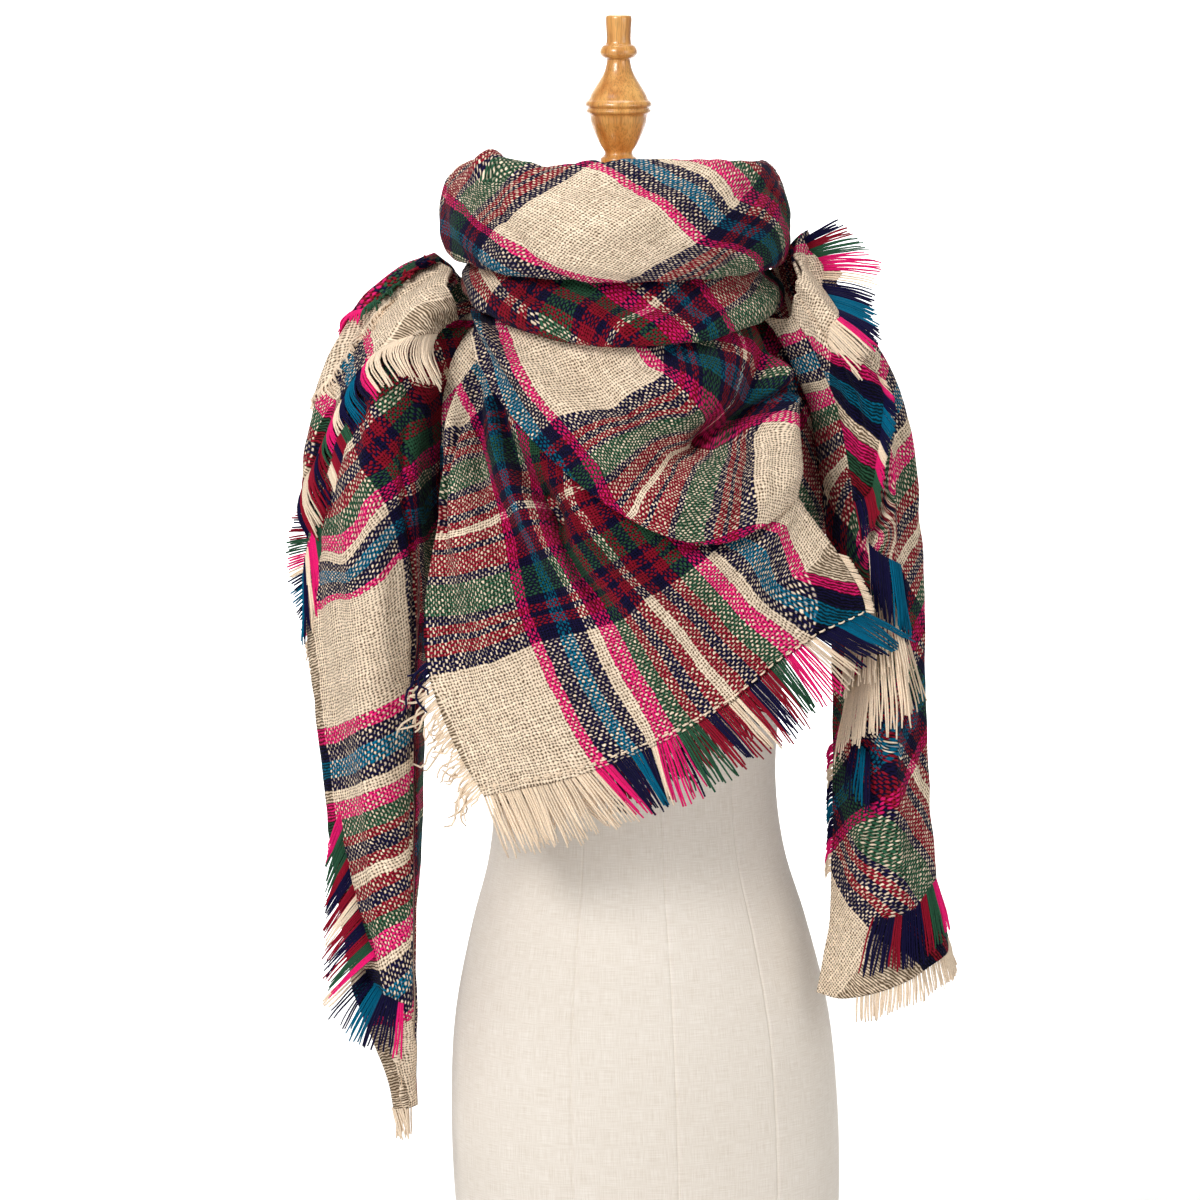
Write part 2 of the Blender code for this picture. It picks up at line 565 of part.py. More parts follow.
def side_row(row, hand, columns):
    """One row round a side stretch. hand is -1 on the left and 1 on the right."""
    x_mid = 0.5 * (row.x_in + row.x_out)
    y_mid = min(0.0, row.y_back - 0.03)
    far, rise = row.y_back - y_mid, min(row.y_back - y_mid, 0.1) * 0.14
    behind = row.x_back - row.x_out

    def high(share):
        return row.z_in * (1 - share) + row.z_out * share

    return through(
        (
            (row.x_in - hand * row.lap, row.y_in + row.turn + 0.012, row.z_in),
            (row.x_in - hand * 0.003, row.y_in + 0.010, row.z_in),
            (x_mid, row.y_in - 0.003, high(0.45)),
            (row.x_out - hand * 0.010, 0.34 * row.y_in + 0.66 * y_mid, high(0.85)),
            (row.x_out, y_mid, row.z_out),
            (row.x_out + 0.22 * behind, y_mid + 0.55 * far + rise, row.z_out * 0.3 + row.z_back * 0.7),
            (row.x_out + 0.66 * behind, y_mid + 0.90 * far, row.z_out * 0.06 + row.z_back * 0.94),
            (row.x_back, row.y_back, row.z_back),
        ),
        np.linspace(0, 1, columns),
    )


def side_net(rows, hand, columns, count, folds):
    """A side stretch from its inner return (first column) to its back edge."""
    nets = np.array([side_row(row, hand, columns) for row in rows])
    return lifted(rows_between(nets, 0, len(rows) - 1, count), folds, hand)


def lifted(net, folds, hand):
    """Folds raised outwards on a side stretch, whose columns run the other way on the left."""
    if hand > 0:
        return folded(net, folds)
    other = [fold._replace(across=1 - fold.across, to_across=1 - fold.to_across) for fold in folds]
    return folded(net[:, ::-1], other)[:, ::-1]


def outward(net, hand):
    return net if hand > 0 else net[:, ::-1]


def sample(net, around, down):
    """Points of a net at shares round and down it."""
    rows, columns = net.shape[:2]
    r = np.clip(np.asarray(down, float), 0, 1) * (rows - 1)
    c = np.clip(np.asarray(around, float), 0, 1) * (columns - 1)
    i, j = np.minimum(r.astype(int), rows - 2), np.minimum(c.astype(int), columns - 2)
    a, b = (r - i)[..., None], (c - j)[..., None]
    upper = net[i, j] * (1 - b) + net[i, j + 1] * b
    return upper * (1 - a) + (net[i + 1, j] * (1 - b) + net[i + 1, j + 1] * b) * a


def side_at(cape, tail, hand, around, down, lift):
    """Points at shares round and down a shoulder and on down its tail, raised off the cloth."""
    around, down = np.broadcast_arrays(np.asarray(around, float), np.asarray(down, float))
    points = []
    on_tail = np.interp(around, *TAIL_SHARES)
    for net, share, turn in ((cape, down, around), (tail, down - 1, on_tail)):
        raised = outward(net, hand) + normals_of(outward(net, hand)) * lift
        points.append(sample(outward(raised, hand), turn, share))
    low = np.clip((down - 0.97) / 0.06, 0, 1)[..., None]
    return points[0] * (1 - low) + points[1] * low


def layer_net(cape, tail, hand, stations, columns=14, rows=8):
    table = through([(s.around, s.top, s.hem) for s in stations], np.linspace(0, 1, columns))
    t = np.linspace(0, 1, rows)[:, None]
    down = table[:, 1] * (1 - t) + table[:, 2] * t
    around = np.broadcast_to(table[:, 0], down.shape)
    low, high = (side_at(cape, tail, hand, around, down, lift) for lift in LAYER_LIFT[hand > 0])
    return low + (high - low) * t[..., None]


# ---------------------------------------------------------------- fringes


def unit(vectors):
    return vectors / np.linalg.norm(vectors, axis=1, keepdims=True)


def fringe(name, roots, on, hang, out, locks, length, share=0.55, look=YARN):
    """A narrow strip along a cloth's edge with tapering locks of yarn that stand apart.

    Points along the edge, and for each the way the cloth ends, the yarn hangs and it faces."""
    stations = 2 * locks
    steps = np.zeros(stations)
    steps[1::2] = share
    steps[2::2] = 1 - share
    at = np.cumsum(steps) / steps.sum()
    root, strip, down, face = (through(points, at) for points in (roots, on, hang, out))
    run, down = unit(np.gradient(root, axis=0)), unit(down)
    strip = unit(strip - run * np.sum(strip * run, axis=1, keepdims=True))
    down = unit(down + strip * np.maximum(0.35 - np.sum(down * strip, axis=1, keepdims=True), 0))
    face = unit(face - strip * np.sum(face * strip, axis=1, keepdims=True))
    root = root + strip * SEAM
    points, faces = [], []
    for i in range(stations):
        for low, side in ((0, 0.5), (STRIP, 0.5), (STRIP, -0.5), (0, -0.5)):
            points.append(root[i] + strip[i] * low + face[i] * side * LOCK)
    for i in range(stations - 1):
        a, b = 4 * i, 4 * i + 4
        faces += [(a, a + 1, b + 1, b), (a + 2, a + 3, b + 3, b + 2), (a + 3, a, b, b + 3)]
        if i % 2:
            faces.append((a + 1, a + 2, b + 2, b + 1))
            continue
        long = length * (0.86 + 0.14 * cos(2.4 * i + locks))
        middle, lean = 0.5 * (root[i] + root[i + 1]) + strip[i] * STRIP, 0.5 * (down[i] + down[i + 1])
        half = 0.5 * (root[i + 1] - root[i])
        droop = np.array((0.0, 0.0, -0.22)) * long * (1 - abs(lean[2]))
        centre = middle + lean * long * 0.6 + droop * 0.36
        start = len(points)
        for across, side in ((-1, 0.5), (-1, -0.5), (1, -0.5), (1, 0.5)):
            points.append(centre + half * across * 0.8 + face[i] * side * LOCK)
        points.append(middle + lean * long + droop)
        ring, new = (a + 1, a + 2, b + 2, b + 1), tuple(range(start, start + 4))
        for k in range(4):
            n = (k + 1) % 4
            faces += [(ring[k], ring[n], new[n], new[k]), (new[k], new[n], start + 4)]
    last = 4 * (stations - 1)
    faces += [(3, 2, 1, 0), (last, last + 1, last + 2, last + 3)]
    if np.sum(np.cross(strip[:-1], np.diff(root, axis=0)) * face[:-1]) < 0:
        faces = [face[::-1] for face in faces]
    return add_mesh(name, points, faces, look)


def leaning(edge, inner, slant):
    """The way yarn goes on from a cloth's edge, leaning along the edge by slant."""
    return unit(edge - inner) + unit(np.gradient(edge, axis=0)) * slant


def edge_fringe(name, edge, inner, hang, faces, locks, length, share=0.55):
    fringe(name, edge - faces * 0.5 * CLOTH, unit(edge - inner), hang, faces, locks, length, share)


def laid_fringe(name, cape, tail, hand, path, lift, hangs, locks, length):
    """A fringe along a path over a side stretch, given as shares round and down it."""
    path = through(path, np.linspace(0, 1, 4 * len(path)))
    low = side_at(cape, tail, hand, path[:, 0], path[:, 1], lift)
    high = side_at(cape, tail, hand, path[:, 0], path[:, 1], lift + 0.01)
    return fringe(name, low, hangs, hangs, high - low, locks, length)


def clear_scene():
    for item in list(bpy.data.objects):
        bpy.data.objects.remove(item)


def front_cloth():
    half = 0.5 * SEAM / 0.018  # the seam as a share of one row
    cowl = wrap_net((COWL_ROWS[0], COWL_ROWS[1] - half), 11)
    cowl = folded(cowl, COWL_FOLDS, closed=True, fade=(0.2, 0.2))
    lip, step = cowl[: LIP_ROWS + 1].copy(), cowl[LIP_ROWS - 1] - cowl[LIP_ROWS]
    lip[-1] += step * LIP_GAP / np.linalg.norm(step, axis=1, keepdims=True)
    cloth("cowl_lip", lip, TARTAN, closed=True)
    cloth("cowl_roll", cowl[LIP_ROWS:], TARTAN, closed=True)
    second = wrap_net((SECOND_ROWS[0] + half, SECOND_ROWS[1]), 7)
    cloth("second_fold", folded(second, SECOND_FOLDS, closed=True, fade=(0.3, 0.3)), TARTAN, closed=True)
    cloth("third_fold", third_fold_net(), TARTAN)
    drape = drape_net()
    cloth("corner_drape", drape, TARTAN)
    faces = normals_of(drape)
    hem, edge = (drape[-1], drape[-3]), (drape[9:-1, -1], drape[9:-1, -3])
    frayed = (drape[-9:-1, 0], drape[-9:-1, 2])
    edge_fringe("hem_fringe", *hem, leaning(*hem, 0.15), faces[-1], 26, 0.052)
    edge_fringe("edge_fringe", *edge, leaning(*edge, 0.9), faces[9:-1, -1], 6, 0.018)
    edge_fringe("frayed_edge", *frayed, leaning(*frayed, 0.5), faces[-9:-1, 0], 7, 0.024, 0.25)
    down, across = np.linspace(0, 1, 5), np.linspace(0, 1, 12)
    behind = drape - faces * (CLOTH + 3 * GAP)
    shares = UNDER_ACROSS[0] + (UNDER_ACROSS[1] - UNDER_ACROSS[0]) * across
    top, hem = sample(behind, shares, 0 * across + UNDER_DOWN), through(UNDER_HEM, across)
    under = between_edges(
        top, hem, through((top[0], hem[0]), down), through((top[-1], hem[-1]), down)
    )
    cloth("under_corner", under, CREAM)
    hang = leaning(hem, under[-3], 0.1)
    edge_fringe("under_fringe", hem, under[-3], hang, normals_of(under)[-1], 14, 0.030)


def side_cloth(side, hand, capes, tails, layer, edges, laid, tail_rows, tip_locks, tip_length):
    cape = side_net(capes, hand, 21, 11, CAPE_FOLDS)
    tail = side_net(tails, hand, 12, tail_rows, TAIL_FOLDS)
    upper = layer_net(cape, tail, hand, layer)
    nets = {"_shoulder": cape, "_tail": tail, "_layer": upper}
    for name, net in nets.items():
        cloth(side + name, outward(net, hand), TARTAN)
    normals = {name: outward(normals_of(outward(net, hand)), hand) for name, net in nets.items()}
    drop = (0.0, 0.0, 0.5 * GAP * (1 - hand))
    back, tip = (cape[-1, 12:], cape[-3, 12:]), (tail[-1, 3:] - drop, tail[-2, 3:])
    face = normals["_shoulder"][-1, 12:]
    edge_fringe(side + "_back_fringe", *back, leaning(*back, 0.0), face, 12, 0.042)
    end_face = normals["_tail"][-1, 3:]
    edge_fringe(side + "_tip_fringe", *tip, leaning(*tip, 0.0), end_face, tip_locks, tip_length)
    lines = {
        "layer": (upper[-1], upper[-2], normals["_layer"][-1]),
        "outer": (tail[:, -1], tail[:, -2], normals["_tail"][:, -1]),
        "inner": (tail[:, 0], tail[:, 1], normals["_tail"][:, 0]),
    }
    for name, line, start, end, hangs, locks, length in edges:
        points, inner, faces = lines[line]
        at = np.linspace(start, end, 3 * len(points)) * (len(points) - 1)
        lines_at = (
            sample(line[None].repeat(2, 0), at / (len(points) - 1), 0 * at)
            for line in (points, inner, faces)
        )
        edge, inner, face = lines_at
        edge_fringe(side + "_" + name, edge, inner, hangs, face, locks, length)
    for name, path, lift, hangs, locks, length in laid:
        laid_fringe(side + "_" + name, cape, tail, hand, path, lift, hangs, locks, length)


def build():
    clear_scene()
    dress_form()
    turned("neck_cap", NECK_CAP, WOOD, 24, NECK_X)
    turned("finial", FINIAL, WOOD, 15, NECK_X)
    turned("stand_base", STAND_BASE, WOOD, 36)
    turned("stand_pole", STAND_POLE, WOOD, 16)
    front_cloth()
    side_cloth("left", -1, LEFT_CAPE, LEFT_TAIL, LEFT_LAYER, LEFT_EDGES, LEFT_FRINGES, 14, 5, 0.024)
    side_cloth("right", 1, RIGHT_CAPE, RIGHT_TAIL, RIGHT_LAYER, RIGHT_EDGES, RIGHT_FRINGES, 13, 12, 0.036)


build()
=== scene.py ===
"""Fringed plaid blanket scarf worn round the neck of a linen dress form with a turned wooden finial.

Metres, +Z up, the wearer faces -Y. The origin is the middle of the stand's underside.
Every stretch of the scarf is a thin shell on its solid's form, in finer steps and with finer creases.
The plaid is woven by the material from cloth coordinates: each stretch is laid flat, in metres of the
one square cloth it belongs to, and pinned where its stripes have to come.
"""

from collections import namedtuple
from math import cos, pi, radians, sin

import bpy
import numpy as np
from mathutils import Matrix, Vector


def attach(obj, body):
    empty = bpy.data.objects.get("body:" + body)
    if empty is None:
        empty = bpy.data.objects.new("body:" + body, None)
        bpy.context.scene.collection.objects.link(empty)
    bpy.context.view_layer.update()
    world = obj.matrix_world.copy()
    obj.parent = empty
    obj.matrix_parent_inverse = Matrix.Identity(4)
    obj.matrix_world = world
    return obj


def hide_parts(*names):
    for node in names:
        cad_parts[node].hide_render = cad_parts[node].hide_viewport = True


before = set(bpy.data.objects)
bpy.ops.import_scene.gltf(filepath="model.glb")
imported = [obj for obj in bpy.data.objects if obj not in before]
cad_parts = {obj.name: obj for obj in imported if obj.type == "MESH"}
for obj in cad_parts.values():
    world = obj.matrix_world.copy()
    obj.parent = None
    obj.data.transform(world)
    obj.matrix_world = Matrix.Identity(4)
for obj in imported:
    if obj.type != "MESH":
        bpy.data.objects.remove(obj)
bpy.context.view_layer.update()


def table(kind, *rows):
    """Rows of values under the named columns of their kind."""
    return tuple(kind(*row) for row in rows)


CLOTH = 0.0026  # two layers of brushed yarn
SEAM = 0.0008  # gap where one stretch goes on into the next
NECK_X = -0.027  # the neck's axis: the form leans a little to one side

# ---------------------------------------------------------------- dress form and stand

BASE_RADIUS = 0.150
BASE_HEIGHT = 0.024
POLE_RADIUS = 0.017
FORM_BOTTOM = 0.112
FORM_TOP = 1.012
NECK_START = 0.95  # from here up the form's axis is the neck's
FORM_TURN = radians(8)  # the form faces slightly to its left
CAP_TOP = 1.0236
GAP = 0.0005  # between one turned part and the next

Girth = namedtuple("Girth", "z side front back")
GIRTHS = table(Girth,  # the form's half width and its depth in front of and behind its axis
    (FORM_BOTTOM, 0.158, 0.094, 0.106), (0.170, 0.162, 0.097, 0.112), (0.247, 0.162, 0.099, 0.116),
    (0.323, 0.156, 0.099, 0.114), (0.400, 0.139, 0.093, 0.098), (0.457, 0.123, 0.086, 0.084),
    (0.515, 0.117, 0.083, 0.077), (0.580, 0.122, 0.087, 0.081), (0.650, 0.136, 0.098, 0.089),
    (0.710, 0.147, 0.112, 0.096), (0.765, 0.155, 0.122, 0.101), (0.815, 0.158, 0.113, 0.102),
    (0.855, 0.157, 0.096, 0.098), (0.880, 0.150, 0.080, 0.089), (0.898, 0.130, 0.067, 0.078),
    (0.914, 0.102, 0.057, 0.066), (0.930, 0.076, 0.051, 0.057), (0.948, 0.057, 0.048, 0.052),
    (0.975, 0.050, 0.047, 0.049), (FORM_TOP, 0.048, 0.047, 0.047),
)

Turning = namedtuple("Turning", "r z")
FINIAL = table(Turning,  # a turned profile, from its foot to its top
    (0.0140, CAP_TOP + GAP), (0.0146, 1.0262), (0.0144, 1.0292), (0.0120, 1.0312), (0.0112, 1.0336),
    (0.0150, 1.0400), (0.0190, 1.0482), (0.0222, 1.0568), (0.0236, 1.0640), (0.0256, 1.0656),
    (0.0262, 1.0672), (0.0252, 1.0690), (0.0270, 1.0716), (0.0262, 1.0744), (0.0242, 1.0762),
    (0.0216, 1.0816), (0.0172, 1.0886), (0.0128, 1.0958), (0.0104, 1.1022), (0.0098, 1.1082),
    (0.0126, 1.1096), (0.0148, 1.1124), (0.0148, 1.1156), (0.0128, 1.1190), (0.0104, 1.1206),
    (0.0104, 1.1420), (0.0094, 1.1432),
)
NECK_CAP = table(Turning,
    (0.0460, FORM_TOP + GAP), (0.0490, 1.0135), (0.0500, 1.0165), (0.0485, 1.0200),
    (0.0400, 1.0222), (0.0180, CAP_TOP),
)
STAND_BASE = table(Turning,
    (BASE_RADIUS - 0.003, 0.0), (BASE_RADIUS, 0.004), (BASE_RADIUS, 0.013),
    (BASE_RADIUS - 0.008, 0.019), (BASE_RADIUS - 0.030, 0.022), (0.034, BASE_HEIGHT),
)
STAND_POLE = table(Turning,
    (0.030, BASE_HEIGHT + GAP), (0.031, 0.031), (0.024, 0.037), (POLE_RADIUS, 0.044),
    (POLE_RADIUS, 0.090), (0.026, 0.098), (0.034, 0.104), (0.034, FORM_BOTTOM - GAP),
)

# ---------------------------------------------------------------- cloth, by its rows

# A ring of the cowl: how far it stands off the neck's axis and its height, on four sides.
Ring = namedtuple("Ring", "left right front back z_left z_front z_right z_back")
RINGS = (
    Ring(0.0565, 0.0565, 0.0492, 0.0522, 0.958, 0.956, 0.958, 0.954),  # inner hem, at the neck
    Ring(0.080, 0.078, 0.070, 0.066, 0.994, 0.990, 0.992, 0.982),
    Ring(0.100, 0.098, 0.088, 0.078, 1.016, 1.020, 1.015, 1.001),
    Ring(0.122, 0.118, 0.112, 0.092, 1.027, 1.034, 1.027, 1.010),  # crest
    Ring(0.140, 0.135, 0.141, 0.104, 1.011, 1.014, 1.010, 0.996),
    Ring(0.146, 0.140, 0.158, 0.110, 0.982, 0.984, 0.980, 0.972),  # fullest
    Ring(0.143, 0.139, 0.159, 0.109, 0.962, 0.957, 0.956, 0.954),
    Ring(0.134, 0.131, 0.150, 0.102, 0.950, 0.941, 0.945, 0.944),  # lowest
    Ring(0.119, 0.116, 0.134, 0.090, 0.953, 0.944, 0.949, 0.947),  # tucked under
    Ring(0.121, 0.122, 0.140, 0.090, 0.946, 0.931, 0.939, 0.940),
    Ring(0.128, 0.1335, 0.158, 0.094, 0.937, 0.913, 0.926, 0.933),  # second roll
    Ring(0.127, 0.1325, 0.159, 0.093, 0.925, 0.893, 0.912, 0.925),
    Ring(0.115, 0.118, 0.145, 0.086, 0.924, 0.891, 0.910, 0.923),  # tucked under
)
COWL_ROWS = (0.0, 8.0)
SECOND_ROWS = (8.0, 12.0)
RING_STEP = 0.018  # how far it is from one ring to the next where the two rolls meet

# The swooping lower edge of the third fold, from the left of the neck round to the right.
SWOOP = (
    (-0.146, -0.082, 0.886),
    (-0.132, -0.108, 0.863),
    (-0.117, -0.128, 0.842),
    (-0.085, -0.154, 0.808),
    (-0.041, -0.174, 0.773),
    (0.009, -0.184, 0.747),
    (0.050, -0.182, 0.741),
    (0.087, -0.160, 0.752),
    (0.114, -0.128, 0.770),
)
THIRD_ANGLES = (radians(-70), radians(64))  # where the third fold leaves the second
THIRD_RIGHT = ((0.108, -0.088, 0.858), (0.110, -0.100, 0.827), (0.113, -0.113, 0.797))

# The corner drape: its left, bottom and right edges. The corner of the cloth is at its lower left.
DRAPE_LEFT = (
    (-0.156, -0.069, 0.893),
    (-0.164, -0.105, 0.813),
    (-0.178, -0.126, 0.722),
    (-0.181, -0.132, 0.645),
    (-0.160, -0.140, 0.580),
    (-0.134, -0.148, 0.534),
)
DRAPE_HEM = (
    (-0.134, -0.148, 0.534),
    (-0.042, -0.172, 0.561),
    (0.036, -0.170, 0.598),
    (0.112, -0.150, 0.650),
    (0.168, -0.126, 0.678),
)
DRAPE_RIGHT = ((0.127, -0.123, 0.751), (0.148, -0.126, 0.722), (0.161, -0.128, 0.699))
TUCK_BACK = 0.020  # how far the drape starts behind and above the swoop
TUCK_UP = 0.015

# The second layer of the folded square shows under the drape's hem. Its upper edge is joined to
# the back of the drape, between these shares across it and at this share down it.
UNDER_ACROSS = (0.06, 0.66)
UNDER_DOWN = 0.80
UNDER_HEM = (
    (-0.126, -0.134, 0.522),
    (-0.050, -0.152, 0.548),
    (0.018, -0.152, 0.572),
    (0.078, -0.145, 0.616),
)
# A soft fold: shares across and down a stretch where its ridge starts and ends, and its
# half width and height. A negative height is a trough.
Fold = namedtuple("Fold", "across down to_across to_down half_width height")
COWL_FOLDS = table(Fold,
    (0.50, 0.62, 0.60, 0.50, 0.020, 0.005), (0.34, 0.36, 0.44, 0.66, 0.022, 0.004),
    (0.64, 0.52, 0.74, 0.50, 0.014, -0.005), (0.26, 0.50, 0.32, 0.80, 0.016, -0.005),
    (0.90, 0.30, 0.99, 0.70, 0.020, -0.005), (0.04, 0.35, 0.12, 0.75, 0.020, 0.005),
    (0.36, 0.20, 0.42, 0.10, 0.020, -0.005), (0.26, 0.10, 0.30, 0.24, 0.018, 0.005),
)
SECOND_FOLDS = table(Fold,
    (0.46, 0.20, 0.62, 0.55, 0.012, -0.004), (0.34, 0.70, 0.46, 0.40, 0.012, 0.003),
    (0.60, 0.75, 0.68, 0.50, 0.012, 0.004),
)
THIRD_FOLDS = table(Fold,
    (0.10, 0.45, 0.66, 0.72, 0.034, 0.016), (1.02, 0.10, 0.66, 0.52, 0.022, -0.016),
    (0.99, 0.30, 0.94, 1.00, 0.024, 0.010), (0.86, 0.55, 0.76, 1.00, 0.022, -0.008),
    (0.62, 0.20, 0.90, 0.06, 0.022, 0.010),
)
DRAPE_FOLDS = table(Fold,
    (0.02, 0.06, 0.34, 0.42, 0.016, -0.014), (0.10, 0.06, 0.56, 0.46, 0.026, 0.014),
    (0.00, 0.14, 0.18, 0.52, 0.018, 0.013), (-0.02, 0.26, 0.07, 0.62, 0.018, -0.008),
    (0.30, 0.10, 0.72, 0.40, 0.018, -0.007), (0.98, 0.02, 0.78, 0.30, 0.024, 0.010),
    (0.80, 0.06, 0.60, 0.20, 0.020, -0.008), (0.28, 0.70, 0.33, 1.05, 0.028, -0.006),
    (0.56, 0.66, 0.62, 1.05, 0.026, 0.006), (0.84, 0.55, 0.86, 1.05, 0.024, -0.006),
)

COWL_CREASES = table(Fold,
    (0.395, 0.60, 0.47, 0.98, 0.007, -0.0035), (0.475, 0.30, 0.54, 0.62, 0.009, -0.0030),
    (0.55, 0.95, 0.63, 0.70, 0.007, -0.0030), (0.60, 0.28, 0.66, 0.48, 0.006, -0.0030),
    (0.43, 0.72, 0.50, 0.80, 0.006, 0.0020), (0.35, 0.40, 0.385, 0.55, 0.007, -0.0030),
    (0.70, 0.55, 0.80, 0.85, 0.010, -0.0040), (0.18, 0.40, 0.24, 0.70, 0.010, -0.0040),
    (0.05, 0.80, 0.20, 0.90, 0.009, -0.0030), (0.86, 0.50, 0.93, 0.40, 0.010, -0.0030),
    (0.333, 0.34, 0.345, 0.42, 0.016, 0.0060), (0.412, 0.34, 0.436, 0.40, 0.018, -0.0060),
)
SECOND_CREASES = table(Fold,
    (0.40, 0.35, 0.47, 0.60, 0.005, -0.0022), (0.52, 0.75, 0.58, 0.45, 0.005, -0.0022),
    (0.66, 0.30, 0.70, 0.65, 0.005, -0.0020), (0.20, 0.40, 0.28, 0.60, 0.006, -0.0020),
    (0.80, 0.40, 0.92, 0.60, 0.006, -0.0020),
)
THIRD_CREASES = table(Fold,
    (0.06, 0.20, 0.34, 0.62, 0.010, -0.0035), (0.94, 0.20, 0.74, 0.44, 0.009, -0.0040),
    (0.50, 0.86, 0.78, 0.82, 0.010, 0.0030), (0.88, 0.62, 0.84, 0.98, 0.008, 0.0030),
    (0.36, 0.16, 0.58, 0.40, 0.012, -0.0030), (0.97, 0.36, 0.73, 0.44, 0.0090, -0.0240),
    (0.73, 0.44, 0.53, 0.78, 0.0080, -0.0120),
)
DRAPE_CREASES = table(Fold,
    (0.02, 0.16, 0.13, 0.42, 0.007, -0.0050), (0.07, 0.12, 0.20, 0.38, 0.007, -0.0040),
    (0.00, 0.34, 0.05, 0.60, 0.008, 0.0040), (0.20, 0.22, 0.44, 0.48, 0.009, 0.0035),
    (0.44, 0.22, 0.70, 0.46, 0.010, -0.0035), (0.86, 0.12, 0.72, 0.44, 0.010, -0.0035),
    (0.12, 0.62, 0.16, 1.00, 0.014, 0.0030), (0.40, 0.60, 0.44, 1.00, 0.013, 0.0030),
    (0.70, 0.55, 0.73, 1.02, 0.014, -0.0030), (0.95, 0.40, 0.97, 0.90, 0.012, 0.0030),
    (0.15, 0.085, 0.36, 0.22, 0.0095, -0.0380), (0.36, 0.22, 0.45, 0.44, 0.0090, -0.0240),
    (0.04, 0.19, 0.02, 0.36, 0.0080, -0.0140),
)
LAYER_CREASES = (  # on the left layer and on the right
    (Fold(0.30, 0.10, 0.34, 0.80, 0.010, -0.0030), Fold(0.55, 0.20, 0.60, 0.90, 0.012, 0.0030),
     Fold(0.10, 0.10, 0.14, 0.60, 0.010, 0.0030)),
    (Fold(0.20, 0.05, 0.14, 0.90, 0.010, -0.0035), Fold(0.34, 0.10, 0.36, 0.95, 0.012, 0.0035),
     Fold(0.60, 0.15, 0.66, 0.90, 0.010, -0.0030)),
)
FRONT_CREASES = (  # on a side stretch's front, left and right
    (Fold(0.16, 0.24, 0.17, 0.86, 0.006, -0.0050), Fold(0.42, 0.10, 0.36, 0.36, 0.010, -0.0040),
     Fold(0.30, 0.30, 0.34, 0.60, 0.012, 0.0030), Fold(0.62, 0.36, 0.52, 0.62, 0.012, -0.0030),
     Fold(0.34, 0.66, 0.30, 0.96, 0.010, -0.0030)),
    (Fold(0.47, 0.10, 0.44, 0.56, 0.007, -0.0075), Fold(0.33, 0.12, 0.32, 0.50, 0.012, 0.0040),
     Fold(0.62, 0.15, 0.60, 0.60, 0.012, 0.0040), Fold(0.25, 0.60, 0.40, 0.92, 0.012, -0.0035),
     Fold(0.55, 0.62, 0.60, 0.95, 0.012, 0.0030)),
)

# One row of a side stretch, from the return on its inner side round its front and outer side to
# its back edge. lap is how far the return reaches inwards. Below the shoulder the same kind of rows
# go on as the hanging tail.
Side = namedtuple("Side", "z_in x_in y_in turn x_out z_out x_back y_back z_back lap")
LEFT_CAPE = table(Side,
    (0.903, -0.160, -0.060, 0.006, -0.168, 0.9400, 0.012, 0.088, 0.908, 0.0244),
    (0.893, -0.174, -0.078, 0.014, -0.188, 0.9300, 0.008, 0.104, 0.893, 0.0244),
    (0.868, -0.184, -0.092, 0.024, -0.220, 0.9040, 0.002, 0.116, 0.872, 0.0244),
    (0.836, -0.190, -0.099, 0.032, -0.248, 0.8640, -0.008, 0.125, 0.848, 0.0244),
    (0.790, -0.194, -0.102, 0.038, -0.267, 0.8100, -0.020, 0.131, 0.820, 0.0244),
    (0.745, -0.196, -0.100, 0.040, -0.277, 0.7450, -0.034, 0.134, 0.790, 0.0244),
)
LEFT_TAIL = table(Side,
    (0.7438, -0.196, -0.100, 0.040, -0.277, 0.7438, -0.279, 0.016, 0.7438, 0.0244),
    (0.680, -0.196, -0.098, 0.042, -0.281, 0.680, -0.280, 0.012, 0.686, 0.0220),
    (0.610, -0.197, -0.096, 0.043, -0.276, 0.610, -0.275, 0.004, 0.616, 0.0135),
    (0.540, -0.198, -0.094, 0.042, -0.267, 0.540, -0.266, -0.004, 0.546, 0.0127),
    (0.470, -0.198, -0.092, 0.038, -0.260, 0.470, -0.259, -0.012, 0.476, 0.0105),
    (0.400, -0.197, -0.090, 0.032, -0.250, 0.400, -0.249, -0.022, 0.406, 0.0040),
    (0.340, -0.196, -0.088, 0.024, -0.236, 0.338, -0.235, -0.034, 0.343, 0.0030),
    (0.290, -0.196, -0.085, 0.014, -0.216, 0.288, -0.215, -0.050, 0.292, 0.0030),
    (0.262, -0.194, -0.084, 0.008, -0.208, 0.260, -0.206, -0.062, 0.262, 0.0030),
)
RIGHT_CAPE = table(Side,
    (0.905, 0.112, -0.062, 0.004, 0.122, 0.9690, -0.034, 0.104, 0.908, 0.0244),
    (0.890, 0.124, -0.078, 0.012, 0.140, 0.9360, -0.036, 0.121, 0.893, 0.0244),
    (0.862, 0.138, -0.086, 0.020, 0.166, 0.8980, -0.044, 0.134, 0.872, 0.0244),
    (0.830, 0.150, -0.086, 0.026, 0.190, 0.8560, -0.060, 0.144, 0.848, 0.0244),
    (0.786, 0.158, -0.084, 0.030, 0.207, 0.8060, -0.078, 0.151, 0.820, 0.0244),
    (0.745, 0.164, -0.081, 0.032, 0.2165, 0.7450, -0.096, 0.154, 0.790, 0.0244),
)
